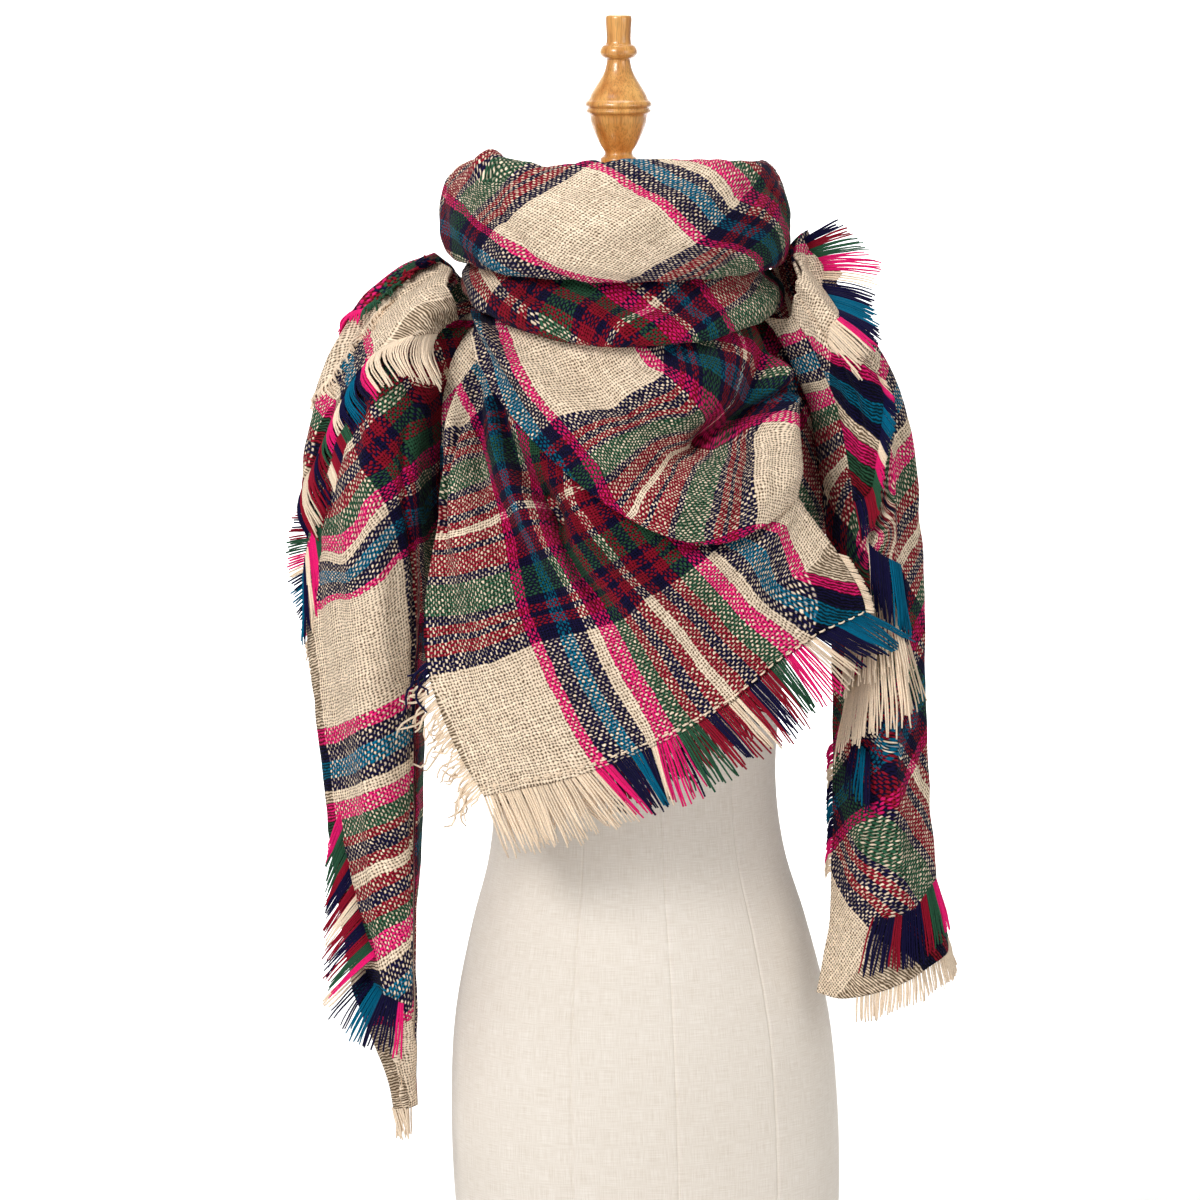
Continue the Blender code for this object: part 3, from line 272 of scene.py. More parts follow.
RIGHT_TAIL = table(Side,
    (0.7441, 0.164, -0.081, 0.032, 0.2165, 0.7441, 0.2185, 0.016, 0.7441, 0.0244),
    (0.680, 0.168, -0.081, 0.032, 0.2195, 0.680, 0.219, 0.012, 0.686, 0.0244),
    (0.610, 0.171, -0.083, 0.032, 0.2200, 0.610, 0.219, 0.004, 0.616, 0.0244),
    (0.540, 0.172, -0.085, 0.032, 0.2240, 0.540, 0.223, -0.002, 0.546, 0.0244),
    (0.470, 0.172, -0.085, 0.030, 0.2290, 0.470, 0.228, -0.008, 0.476, 0.0244),
    (0.410, 0.170, -0.083, 0.026, 0.2350, 0.418, 0.235, -0.014, 0.422, 0.0244),
    (0.350, 0.160, -0.081, 0.020, 0.2440, 0.384, 0.246, -0.016, 0.390, 0.0244),
)
TAIL_FOLDS = table(Fold,
    (0.30, 0.00, 0.28, 0.95, 0.012, 0.003), (0.48, 0.02, 0.44, 0.80, 0.014, -0.004),
    (0.70, 0.05, 0.66, 0.70, 0.014, 0.004), (0.86, 0.00, 0.84, 0.60, 0.014, -0.004),
)
CAPE_FOLDS = table(Fold,
    (0.45, 0.30, 0.40, 1.00, 0.018, 0.005), (0.58, 0.20, 0.55, 1.00, 0.018, -0.006),
    (0.69, 0.20, 0.69, 1.00, 0.022, 0.008), (0.78, 0.20, 0.79, 1.00, 0.020, -0.007),
    (0.87, 0.30, 0.86, 1.00, 0.022, 0.005),
)

# An upper layer that lies on a side stretch: shares round and down that stretch at each of its
# stations, where it starts and where its hem is. The shares go on past 1 onto the tail.
Station = namedtuple("Station", "around top hem")
LAYER_LIFT = ((0.0091, 0.0091), (0.0050, 0.0091))  # off the shoulder at the top and hem, left and right
LEFT_LAYER = table(Station,
    (0.135, 0.02, 0.22), (0.18, 0.00, 0.30), (0.23, 0.00, 0.44), (0.29, 0.00, 0.60),
    (0.35, 0.01, 0.76), (0.41, 0.02, 0.92), (0.48, 0.03, 0.95), (0.56, 0.05, 0.80),
    (0.64, 0.08, 0.56),
)
RIGHT_LAYER = table(Station,
    (0.13, 0.03, 0.92), (0.16, 0.01, 0.90), (0.19, 0.00, 0.78), (0.24, 0.00, 0.52),
    (0.32, 0.00, 0.34), (0.42, 0.00, 0.25), (0.52, 0.00, 0.24), (0.62, 0.03, 0.22),
)
TAIL_SHARES = ((0.0, 0.13, 0.43, 0.56), (0.0, 0.15, 0.70, 1.0))  # a shoulder's shares and its tail's

# Fringes on the edges of a side stretch: which edge, the share of it from which and to which they
# run, the way the yarn hangs along it, and how long it is.
Edge = namedtuple("Edge", "name edge start end hangs length")
LEFT_EDGES = (
    Edge("layer_fringe", "layer", 0.0, 0.97,
         ((0.45, -0.4, -1), (0.9, -0.5, -0.8), (0.8, -0.5, -1), (0.45, -0.3, -1), (0.3, -0.2, -1)),
         (0.044, 0.036, 0.046, 0.054, 0.060)),
    Edge("outer_tufts", "outer", 0.0, 0.28,
         ((-1, 0, 0.3), (-0.9, 0, -0.1), (-0.3, -0.1, -1), (-0.1, -0.1, -1)), 0.030),
)
RIGHT_EDGES = (
    Edge("layer_fringe", "layer", 0.0, 0.44,
         ((0.1, -0.3, -1), (0.15, -0.3, -1), (0.5, -0.3, -1), (1, -0.3, -0.75), (1, -0.3, -0.6)),
         (0.034, 0.020, 0.014, 0.016, 0.020)),
    Edge("inner_tufts", "inner", 0.46, 0.72,
         ((-0.4, -0.2, -1), (-0.4, -0.2, -1), (-0.3, -0.2, -1)), 0.011),
)

# Fringes that lie on a side stretch: the solid's node, the net they lie on, the line of their roots as
# it is seen from in front (millimetres right of and above the middle), how far they are lifted off, the
# way the yarn hangs along the line, how long it is, and the places across the cloth that it comes from.
Laid = namedtuple("Laid", "name node net line lift hangs length cloth")
LEFT_LAID = (
    Laid("shoulder_tufts", "shoulder_tufts", "back",
         ((-128, 276), (-151, 271), (-172, 252), (-192, 232)), 0.004,
         ((-0.3, 0.0, 1), (-0.7, 0.0, 0.5), (-0.8, 0.0, -0.2), (-0.8, 0.0, -0.6)), 0.014,
         (0.545, 0.575, 0.552, 0.561)),
    Laid("red_locks", "layer_fringe", "front",
         ((-203, 139), (-213, 119), (-219, 98)), 0.005,
         ((0.6, -0.15, -1), (0.5, -0.15, -1), (0.4, -0.15, -1)), 0.050, (0.822, 0.850, 0.872)),
    Laid("low_layer_fringe", "layer_fringe", "front",
         ((-221, 90), (-230, 66), (-236, 41), (-241, 16)), 0.004,
         ((0.3, -0.15, -1), (0.25, -0.15, -1), (0.2, -0.15, -1), (0.03, -0.1, -1)), 0.056,
         (0.872, 0.904, 0.922, 0.955)),
    Laid("tail_fringe", "tail_fringe", "front",
         ((-214, -176), (-208, -212), (-200, -246), (-192, -275), (-184, -292)), 0.002,
         ((-0.35, -0.2, -1), (-0.5, -0.2, -1), (-0.8, -0.2, -1), (-1, -0.2, -0.9), (-1, -0.2, -0.8)),
         (0.026, 0.034, 0.040, 0.044, 0.044), (1.142, 1.168, 1.200, 1.230, 1.256)),
    Laid("low_tail_fringe", "tail_fringe", "front",
         ((-198, -299), (-188, -316), (-174, -328), (-162, -336)), 0.003,
         ((-1, -0.2, -0.8), (-0.8, -0.2, -1), (-0.5, -0.2, -1), (0.0, -0.2, -1)), 0.040,
         (1.262, 1.282, 1.297, 1.312)),
)
RIGHT_LAID = (
    Laid("fan_fringe", "fan_fringe", "layer",
         ((168, 297), (175, 285), (184, 268), (191, 246), (192, 222), (191, 206)), 0.002,
         ((0.6, -0.2, 0.45), (1, -0.2, 0.15), (1, -0.2, -0.1), (1, -0.3, -0.4), (1, -0.3, -0.6),
          (1, -0.3, -1.1)),
         (0.026, 0.042, 0.040, 0.034, 0.034, 0.034), (0.550, 0.573, 0.590, 0.622, 0.648, 0.700)),
    Laid("middle_fringe", "middle_fringe", "front",
         ((206, -20), (218, -8), (230, 0), (240, 2)), 0.004,
         ((-0.15, -0.3, -1), (-0.1, -0.3, -1), (0.05, -0.3, -1), (0.25, -0.3, -1)), 0.060, (0.69, 0.71)),
    Laid("lower_middle_fringe", "middle_fringe", "front",
         ((205, -72), (218, -58), (234, -46), (250, -30)), 0.0035,
         ((-0.2, -0.3, -1), (-0.15, -0.3, -1), (0.0, -0.3, -1), (0.3, -0.3, -1)), 0.056, (0.69, 0.71)),
    Laid("blue_lock", "middle_fringe", "front",
         ((222, 44), (238, 30), (248, 18)), 0.004,
         ((0.1, -0.3, -1), (0.1, -0.3, -1), (0.1, -0.3, -1)), 0.052, (0.604, 0.640)),
    Laid("low_lock", "middle_fringe", "front",
         ((208, -118), (216, -124), (222, -132)), 0.004,
         ((-0.2, -0.3, -1), (-0.1, -0.3, -1), (0.0, -0.3, -1)), 0.040, (0.604, 0.640)),
    Laid("upper_tip_fringe", "upper_tip_fringe", "front",
         ((222, -262), (244, -264), (258, -256), (268, -242), (276, -232)), 0.002,
         ((-0.35, -0.3, -1), (-0.1, -0.3, -1), (0.1, -0.3, -1), (0.2, -0.2, -1), (0.3, -0.2, -1)), 0.040,
         (0.548, 0.563, 0.552, 0.574, 0.590)),
)

# The stretch next to the form: its angles round it, its heights, and how far it stands off, with a
# bulge at the right side: how far it goes out, where its middle is, and its half width and height.
WRAP_ANGLES = (-pi - 0.35, 0.45)
WRAP_HEIGHTS = (0.70, 0.93)
WRAP_OFF = 0.0035
Bulge = namedtuple("Bulge", "off angle z wide tall")
WRAP_BULGE = Bulge(0.020, -0.15, 0.750, 0.35, 0.035)

# How a side stretch's cloth runs: the share across of its deep fold, between which shares down the
# cloth goes on through the fold, and what is seen of its front, inside the fold, and of its layer.
Plaid = namedtuple("Plaid", "fold agree front inner layer")

# Columns and rows of each stretch's net. A side stretch has a front, which goes on as its tail, and a
# back. Its shoulder has the same rows in both, down to where the tail hangs free.
COWL_NET, SECOND_NET, THIRD_NET, DRAPE_NET = (253, 64), (253, 30), (130, 90), (160, 140)
SHOULDER_COLUMNS, SHOULDER_ROWS, BACK_COLUMNS, TAIL_NET = 140, 70, 70, (90, 140)
UNDER_NET, WRAP_NET, LAYER_NET, FLAP_NET = (70, 40), (130, 80), (90, 60), (50, 40)
SETTLE_ROWS, SETTLE_TIMES = 15, 80  # rows evened out on either side of the tail's start, and how often
BACK_FADE = 18  # columns over which a side's back goes over into its front
LAP = 0.05  # how far a roll's end laps over its start, as a share of the way round
LAP_RISE, LAP_LIFT = 0.4, 1.3  # it is lifted over this share of the lap, by this many thicknesses
SIDE_FROM, FRAYED_FROM = 70, 92  # the rows from which the drape's two sides are fringed
TIP_FROM, TIP_PLACE = 20, 0.70  # the column from which a tip is fringed, and its yarns' place across

# How each stretch's face swells: how high, how far from swell to swell, and the seed.
UNEVEN = {
    "cowl": (0.0007, 0.03, 1), "second_roll": (0.0005, 0.03, 2), "swooping_fold": (0.0005, 0.035, 3),
    "front_drape": (0.0005, 0.04, 4), "inner_wrap": (0.0004, 0.04, 5),
    "left_side_cloth": (0.0006, 0.035, 20), "right_side_cloth": (0.0006, 0.035, 22),
    "left_layer_cloth": (0.0006, 0.035, 23), "right_layer_cloth": (0.0006, 0.035, 25),
    "left_cream_flap": (0.0006, 0.03, 51), "left_dark_flap": (0.0006, 0.03, 53),
}

# Where the plaid is seen from in front: millimetres right of and above the middle of the view, in the
# neck's plane, and the place on the one square of cloth that shows there, in millimetres.
Seen = namedtuple("Seen", "right up u v")
COWL_SEEN = table(Seen,
    (-87, 301, 651.5, 755), (-11, 354, 748.5, 755), (80, 294, 748.5, 645), (20, 260, 651.5, 645),
    (112, 321, 800, 645), (58, 359, 800, 725), (96, 358, 826, 690), (-111, 321, 647, 809),
    (-93, 336, 700, 809), (-97, 280, 622, 750), (-41, 272, 647, 702), (103, 266, 700, 591),
)
SECOND_SEEN = table(Seen,
    (-90, 259, 533.75, 655), (-34, 218, 533.75, 588), (46, 240, 600, 535.25), (78, 216, 600, 495),
    (7, 212, 552, 535.25), (133, 239, 700, 480),
)
THIRD_SEEN = table(Seen,
    (-75, 222, 319, 408), (-48, 164, 319, 335), (-33, 148, 319, 315.5), (-2, 109, 319, 261),
    (26, 67, 319, 205.75), (10, 157, 363, 315.5), (53, 184, 416, 315.5), (77, 144, 406, 261),
    (126, 98, 353, 96), (74, 47, 319, 150), (85, 154, 416, 268), (87, 120, 412, 174),
    (112, 130, 412, 125), (134, 144, 414, 94), (91, 109, 396, 150), (82, 90, 370, 150),
    (72, 57, 332, 150), (129, 66, 322, 96), (61, 119, 388, 205.75), (30, 71, 328, 205.75),
    (119, 57, 316, 104),
)
DRAPE_SEEN = table(Seen,
    (-94, -164, 4, 3), (1, -138, 88, 3), (30, -133, 113, 3), (52, -118, 147, 3), (71, -107, 161, 3),
    (90, -93, 182, 3), (107, -79, 201, 3), (123, -63, 221, 3), (141, -48, 241.5, 3),
    (156, -39, 255.5, 3), (172, -23, 277, 3), (175, -4, 292, 3), (-134, -62, 5, 96),
    (-57, -37, 83.5, 96), (-29, -29, 113, 96), (10, -19, 154, 96), (39, 1, 201, 96),
    (77, 27, 250, 96), (100, 47, 285, 96), (162, 20, 314, 5), (150, 55, 314, 50),
    (-26, 87, 201, 205.75), (-5, 53, 201, 165), (-71, 37, 88, 175), (-79, 68, 88, 205.75),
    (-95, 125, 88, 281), (-102, 146, 88, 310), (-127, 51, 20, 205.75), (-107, 2, 50, 150),
    (-139, 0, 5, 150), (-119, 98, 40, 261.5), (-121, 140, 60, 315.5),
)
LEFT_SIDE_SEEN = table(Seen,
    (-164, 31, 984, 94), (-213, 0, 984, 40), (-162, -80, 1081, 78), (-216, -105, 1081, 16),
    (-231, -33, 1010, 3), (-162, -212, 1198.75, 50), (-203, -230, 1198.75, 2),
    (-213, -176, 1148, 5), (-162, -280, 1260.5, 26), (-184, -291, 1257, 2), (-172, -328, 1290, 4),
    (-164, -369, 1345, 10), (-174, 71, 937, 96), (-211, 29, 937, 54), (-180, 107, 900, 105),
    (-171, 148, 879, 139), (-139, 164, 879, 175), (-144, 107, 928, 150), (-205, 66, 908, 66),
    (-144, 246, 780, 190),
)
LEFT_INNER_SEEN = table(Seen,
    (-152, 0, 1110, 112), (-151, -66, 1170, 120), (-151, -123, 1215, 125), (-153, -180, 1262, 125),
    (-157, -230, 1300, 122), (-144, 66, 960, 150),
)
LEFT_LAYER_SEEN = table(Seen,
    (-129, 246, 680, 0), (-166, 212, 733, 0), (-182, 195, 753, 0), (-203, 177, 785, 0),
    (-228, 148, 822, 0), (-233, 125, 845, 0), (-148, 254, 690, 30), (-244, 98, 875, 0),
)
RIGHT_SIDE_SEEN = table(Seen,
    (253, 41, 201.25, 1064), (248, 102, 247, 1036), (244, 148, 282, 1010), (239, 82, 238, 1050),
    (242, 0, 165, 1095), (205, -33, 165, 1150), (240, 98, 255, 1046), (240, 33, 210, 1084),
    (266, -106, 96, 1161), (230, -111, 118, 1189), (267, -163, 56, 1200), (212, -192, 74, 1257),
    (271, -209, 22, 1229), (207, -235, 48, 1291), (271, -242, -1, 1252), (235, -273, 2, 1298),
)
RIGHT_INNER_SEEN = table(Seen,
    (209, 121, 201.25, 1040), (197, 98, 194, 1066), (225, 102, 178, 1044), (215, 49, 148, 1080),
    (226, 49, 140, 1070), (221, 131, 207, 1028), (193, 121, 215, 1058), (205, 82, 174, 1072),
)
RIGHT_LAYER_SEEN = table(Seen,
    (175, 285, 651, 0), (194, 256, 690, 0), (190, 212, 748.5, 0), (188, 174, 790, 0),
    (158, 287, 650, 30), (158, 212, 748.5, 35), (191, 203, 748.5, -2), (213, 194, 748.5, -27),
    (223, 187, 750, -40), (197, 168, 790, -10),
)
WRAP_SEEN = table(Seen,
    (-118, 189, 405, 370), (152, 205, 600, 555), (-126, 82, 479, 292),
)

LEFT_PLAID = Plaid(0.15, (0.0, 0.32), LEFT_SIDE_SEEN, LEFT_INNER_SEEN, LEFT_LAYER_SEEN)
RIGHT_PLAID = Plaid(0.46, (0.62, 1.0), RIGHT_SIDE_SEEN, RIGHT_INNER_SEEN, RIGHT_LAYER_SEEN)

# Each side's cloth. hand is -1 on the left and 1 on the right.
Half = namedtuple("Half", "side hand capes tails layer plaid edges laid")
LEFT = Half("left", -1, LEFT_CAPE, LEFT_TAIL, LEFT_LAYER, LEFT_PLAID, LEFT_EDGES, LEFT_LAID)
RIGHT = Half("right", 1, RIGHT_CAPE, RIGHT_TAIL, RIGHT_LAYER, RIGHT_PLAID, RIGHT_EDGES, RIGHT_LAID)

# A pin: shares across and down a stretch, and the place on the cloth that comes there, in metres.
Pin = namedtuple("Pin", "across down u v")
UNDER_PINS = table(Pin,
    (0.0, 1.0, 0.0, 0.0), (1.0, 1.0, 0.0, 0.235), (0.5, 0.0, 0.04, 0.12),
)

# A flap of the cloth's end on the left shoulder: its stations round it, how far it is lifted off, its
# pins, the way its yarns hang along its hem, how much they spread, and their seed.
Flap = namedtuple("Flap", "stations lift pins hangs spread seed")
CREAM_FLAP = Flap(
    table(Station,
        (0.375, 0.30, 0.36), (0.385, 0.26, 0.52), (0.41, 0.24, 0.66), (0.45, 0.24, 0.72),
        (0.50, 0.25, 0.68), (0.56, 0.30, 0.50),
    ), 0.0122,
    table(Pin, (0, 1, 0.66, 0.08), (1, 1, 0.74, 0.08), (0.5, 0, 0.70, 0.17)),
    ((0.5, -0.4, -0.7), (0.6, -0.5, -0.6), (0.2, -0.4, -1), (-0.2, -0.2, -1)), 0.35, 51,
)
DARK_FLAP = Flap(
    table(Station,
        (0.405, 0.02, 0.10), (0.420, 0.02, 0.30), (0.436, 0.02, 0.44), (0.480, 0.03, 0.50),
        (0.540, 0.05, 0.48), (0.600, 0.08, 0.40),
    ), 0.0152,
    table(Pin, (0, 1, 0.548, 0.11), (1, 1, 0.640, 0.11), (0.5, 0, 0.59, 0.20)),
    ((0.3, -0.4, 0.4), (-0.2, -0.5, -0.6), (-0.2, -0.4, -1), (-0.2, -0.2, -1)), 0.25, 53,
)

# The plaid: its stripes in millimetres, from a band's edge to its middle, where it is mirrored.
Stripe = namedtuple("Stripe", "colour width")
ACROSS_BAND = (  # stripes that follow each other along u
    Stripe("pink", 9.5), Stripe("navy", 13), Stripe("teal", 14), Stripe("navy", 10.5), Stripe("cream", 9),
    Stripe("pink", 15), Stripe("green", 13), Stripe("red", 9), Stripe("navy", 10.5), Stripe("red", 9.5),
    Stripe("cream", 9.5),
)
DOWN_BAND = (  # and along v
    Stripe("navy", 12.5), Stripe("red", 8.5), Stripe("navy", 6), Stripe("red", 7.5), Stripe("navy", 6),
    Stripe("green", 27), Stripe("navy", 5.5), Stripe("red", 19), Stripe("navy", 5.5), Stripe("red", 8.5),
    Stripe("cream", 7.5),
)
Sett = namedtuple("Sett", "band edge between")  # the plain edge before the first band, and between bands
ACROSS, DOWN = Sett(ACROSS_BAND, 83.5, 97.0), Sett(DOWN_BAND, 96.0, 110.0)
SQUARE = 1.40  # the cloth's side
PLAIN_EDGE = 0.02  # nearer to its edge than this the cloth is plain, and past it too
WHOLE_REPEATS = 4.0  # added so that the share of a repeat is never below 0

# The weave: the pitch of its yarns; how much yarns turn over each other; how much fuller a dyed yarn
# is than a cream one, which it hides in part; how far two colours blend; the light left in the gaps,
# and the light lost where dyed yarn crosses dyed yarn. Its yarns wander by noise: waves a metre,
# detail, distance.
YARN_PITCH = 0.0024
WEAVE_TURN = 0.62
DYED_FULLER = 0.85
BLEND = 0.55
GAP_LIGHT = 0.13
TWICE_DYED = 0.18
WARMER = (1.0, 1.10, 1.22)  # powers of the light for red, green and blue: deep in the wool it is warm
WANDER = ((45.0, 2.0, 0.0034), (260.0, 1.0, 0.0026))
DYES = {  # as screen colours
    "cream": (238, 216, 190), "pink": (224, 30, 110), "navy": (20, 17, 54), "teal": (0, 96, 128),
    "green": (44, 86, 62), "red": (142, 20, 42),
}

# ---------------------------------------------------------------- shapes


def smooth(values, knots, at):
    """Values between those at the knots, on cubic curves that keep each knot's value and mean slope."""
    slopes = np.gradient(values, knots, axis=0)
    i = np.clip(np.searchsorted(knots, at, side="right") - 1, 0, len(knots) - 2)
    span = (knots[i + 1] - knots[i]).reshape(-1, *[1] * (values.ndim - 1))
    t = (at - knots[i]).reshape(span.shape) / span
    start = values[i] * (1 + 2 * t) * (1 - t) ** 2 + slopes[i] * span * t * (1 - t) ** 2
    return start + values[i + 1] * t**2 * (3 - 2 * t) + slopes[i + 1] * span * t**2 * (t - 1)


def through(points, shares):
    """Points at shares of the way along the smooth curve through the given ones."""
    points = np.asarray(points, float)
    steps = np.sqrt(np.linalg.norm(np.diff(points[:, :3], axis=0), axis=1)) + 1e-9
    knots = np.concatenate([[0.0], np.cumsum(steps)])
    return smooth(points, knots, np.asarray(shares, float) * knots[-1])


def rows_between(rows, low, high, count):
    """Rows of a net, evened out between two row numbers, on the smooth surface through all rows."""
    return smooth(rows, np.arange(len(rows), dtype=float), np.linspace(low, high, count))


def between_edges(top, bottom, left, right):
    """The net that fills four edges: top and bottom run left to right, the others downwards."""
    s = np.linspace(0, 1, len(top))[None, :, None]
    t = np.linspace(0, 1, len(left))[:, None, None]
    across = left[:, None] * (1 - s) + right[:, None] * s
    down = top[None] * (1 - t) + bottom[None] * t
    corners = (top[0] * (1 - s) + top[-1] * s) * (1 - t)
    corners = corners + (bottom[0] * (1 - s) + bottom[-1] * s) * t
    return across + down - corners


def units(vectors):
    """Vectors of length one."""
    return vectors / np.maximum(np.linalg.norm(vectors, axis=-1, keepdims=True), 1e-12)


def normals_of(net):
    """Unit normals of a net. They point out of the cloth when rows run down and columns right."""
    return units(np.cross(np.gradient(net, axis=0), np.gradient(net, axis=1)))


def outward(net, hand):
    """The net with its columns turned so that its faces point out of the cloth."""
    return net if hand > 0 else net[:, ::-1]


def faces_of(net, hand=1):
    """Unit normals out of a stretch. On the left (hand -1) its columns run the other way."""
    return outward(normals_of(outward(net[..., :3], hand)), hand)


def lengths_along(net, axis):
    """How far each point of a net is along its row (axis 1) or column (axis 0)."""
    return np.cumsum(np.linalg.norm(np.gradient(net, axis=axis), axis=2), axis=axis)


def folded(net, folds, shares=None, fade=(0.0, 0.0)):
    """The net with each fold's ridge or trough raised along its normals.

    A fold's height falls off as a bell across its line and past its two ends. Where shares are given,
    the net goes once round and past its start, and the folds come again there. fade gives the shares
    down over which they fade out at the top and at the bottom."""
    rows, columns = net.shape[:2]
    t = np.linspace(0, 1, rows)[:, None]
    once = net if shares is None else net[:, : int(np.searchsorted(shares, 1.0)) + 1]
    wide = np.linalg.norm(np.diff(once[rows // 2], axis=0), axis=1).sum()
    tall = np.linalg.norm(np.diff(net[:, columns // 2], axis=0), axis=1).sum()
    lift = np.zeros((rows, columns))
    for turn in (0,) if shares is None else (-1, 0, 1):
        s = (np.linspace(0, 1, columns) if shares is None else shares + turn)[None, :]
        for fold in folds:
            run = np.array([(fold.to_across - fold.across) * wide, (fold.to_down - fold.down) * tall])
            x, y = (s - fold.across) * wide, (t - fold.down) * tall
            along = (x * run[0] + y * run[1]) / (run @ run)
            off = (x * run[1] - y * run[0]) / np.sqrt(run @ run)
            broad = fold.half_width * (0.55 + 0.6 * np.clip(along, 0, 1.2))
            past = np.maximum(np.maximum(-along, along - 1), 0) * np.sqrt(run @ run)
            lift += fold.height * np.exp(-((off / broad) ** 2) - (past / (1.6 * fold.half_width)) ** 2)
    for share, far in zip(fade, (t, 1 - t)):
        if share:
            lift *= np.clip(far / share, 0, 1)
    return net + normals_of(net) * lift[..., None]


def uneven(name, net, hand=1):
    """A piece's net with soft swells: the sum of eight slow waves that run in different directions."""
    net = outward(net, hand)
    height, size, seed = UNEVEN[name]
    draw = np.random.default_rng(seed)
    x, y = lengths_along(net, 1), lengths_along(net, 0)
    lift = np.zeros(net.shape[:2])
    turns, starts, stretches = (draw.uniform(low, high, 8) for low, high in ((0, pi), (0, 6), (0.7, 1.8)))
    for turn, start, stretch in zip(turns, starts, stretches):
        lift += np.cos((x * cos(turn) + y * sin(turn)) * 2 * pi / (size * stretch) + start)
    return outward(net + normals_of(net) * (lift * height / 3)[..., None], hand)


def form_centre(z):
    """The form's axis, which moves over to the neck's axis on its way up."""
    return NECK_X * np.minimum(1.0, (z - FORM_BOTTOM) / (NECK_START - FORM_BOTTOM))


def ring_rows(angles):
    """Every ring of the cowl at the given angles: 0 in front, positive towards the right."""
    sine, cosine = np.sin(angles), np.cos(angles)
    front, back = np.maximum(cosine, 0) ** 1.6, np.maximum(-cosine, 0) ** 1.6
    rows = []
    for ring in RINGS:
        side_z = np.where(sine < 0, ring.z_left, ring.z_right)
        x = NECK_X + sine * np.where(sine < 0, ring.left, ring.right)
        y = -cosine * np.where(cosine > 0, ring.front, ring.back)
        z = side_z + (ring.z_front - side_z) * front + (ring.z_back - side_z) * back
        rows.append(np.stack([x, y, z], axis=1))
    return np.array(rows)


def wrap_net(rows, folds, fade, columns, count):
    """One roll: once round from the back of the neck by the left, and on over its own start.

    The end that laps over is lifted off the start by a little more than the cloth's thickness."""
    shares = np.linspace(0, 1 + LAP, columns)
    net = rows_between(ring_rows(-pi + 2 * pi * shares), rows[0], rows[1], count)
    net = folded(net, folds, shares, fade)
    lap = np.clip((shares - 1) / (LAP_RISE * LAP) + 1, 0, 1)
    return net + normals_of(net) * (lap * lap * (3 - 2 * lap) * LAP_LIFT * CLOTH)[None, :, None]


def third_fold_net(folds, columns, rows):
    """The third fold: the net between the second roll's lower row and the swoop, with its folds."""
    shares = np.linspace(0, 1, columns)
    angles = THIRD_ANGLES[0] + (THIRD_ANGLES[1] - THIRD_ANGLES[0]) * shares
    top = ring_rows(angles)[-1] - (0.0, 0.0, 0.6 * SEAM)
    bottom = through(SWOOP, shares)
    left = through((top[0], bottom[0]), np.linspace(0, 1, rows))
    right = through((top[-1], *THIRD_RIGHT, bottom[-1]), np.linspace(0, 1, rows))
    return folded(between_edges(top, bottom, left, right), folds, fade=(0.15, 0.15))


def swoop_tuck(shares):
    """The drape's upper edge: behind and above the swoop, and nearly level with it on the right."""
    edge = through(SWOOP, shares)
    inward = (NECK_X, 0.0, 0.0) - edge * (1.0, 1.0, 0.0)
    inward /= np.linalg.norm(inward, axis=1, keepdims=True)
    tuck = 0.3 + 0.7 * np.clip((1 - np.asarray(shares)) / 0.35, 0, 1)[:, None]
    return edge + tuck * (inward * TUCK_BACK + (0.0, 0.0, TUCK_UP))


def drape_net(folds, columns, rows):
    """The corner drape: the net between its tucked upper edge, its hem and its two sides."""
    shares = np.linspace(0, 1, columns)
    down = np.linspace(0, 1, rows)
    top = swoop_tuck(shares)
    bottom = through(DRAPE_HEM, shares)
    left = through((top[0], *DRAPE_LEFT[1:-1], bottom[0]), down)
    right = through((top[-1], *DRAPE_RIGHT, bottom[-1]), down)
    return folded(between_edges(top, bottom, left, right), folds, fade=(0.2, 0.0))


def side_row(row, hand, columns):
    """One row round a side stretch. hand is -1 on the left and 1 on the right."""
    x_mid = 0.5 * (row.x_in + row.x_out)
    y_mid = min(0.0, row.y_back - 0.03)
    far, rise = row.y_back - y_mid, min(row.y_back - y_mid, 0.1) * 0.14
    behind = row.x_back - row.x_out

    def high(share):
        return row.z_in * (1 - share) + row.z_out * share

    return through(
        (
            (row.x_in - hand * row.lap, row.y_in + row.turn + 0.012, row.z_in),
            (row.x_in - hand * 0.003, row.y_in + 0.010, row.z_in),
            (x_mid, row.y_in - 0.003, high(0.45)),
            (row.x_out - hand * 0.010, 0.34 * row.y_in + 0.66 * y_mid, high(0.85)),
            (row.x_out, y_mid, row.z_out),
            (row.x_out + 0.22 * behind, y_mid + 0.55 * far + rise, row.z_out * 0.3 + row.z_back * 0.7),
            (row.x_out + 0.66 * behind, y_mid + 0.90 * far, row.z_out * 0.06 + row.z_back * 0.94),
            (row.x_back, row.y_back, row.z_back),
        ),
        np.linspace(0, 1, columns),
    )


def side_net(rows, hand, columns, count, folds):
    """A side stretch from its inner return (first column) to its back edge."""
    nets = np.array([side_row(row, hand, columns) for row in rows])
    return lifted(rows_between(nets, 0, len(rows) - 1, count), folds, hand)


def settled(net, low, high, times):
    """The net with its rows from low to high evened out: each is drawn to the mean of its neighbours."""
    net = net.copy()
    for _ in range(times):
        net[low:high] = 0.5 * net[low:high] + 0.25 * (net[low - 1 : high - 1] + net[low + 1 : high + 1])
    return net


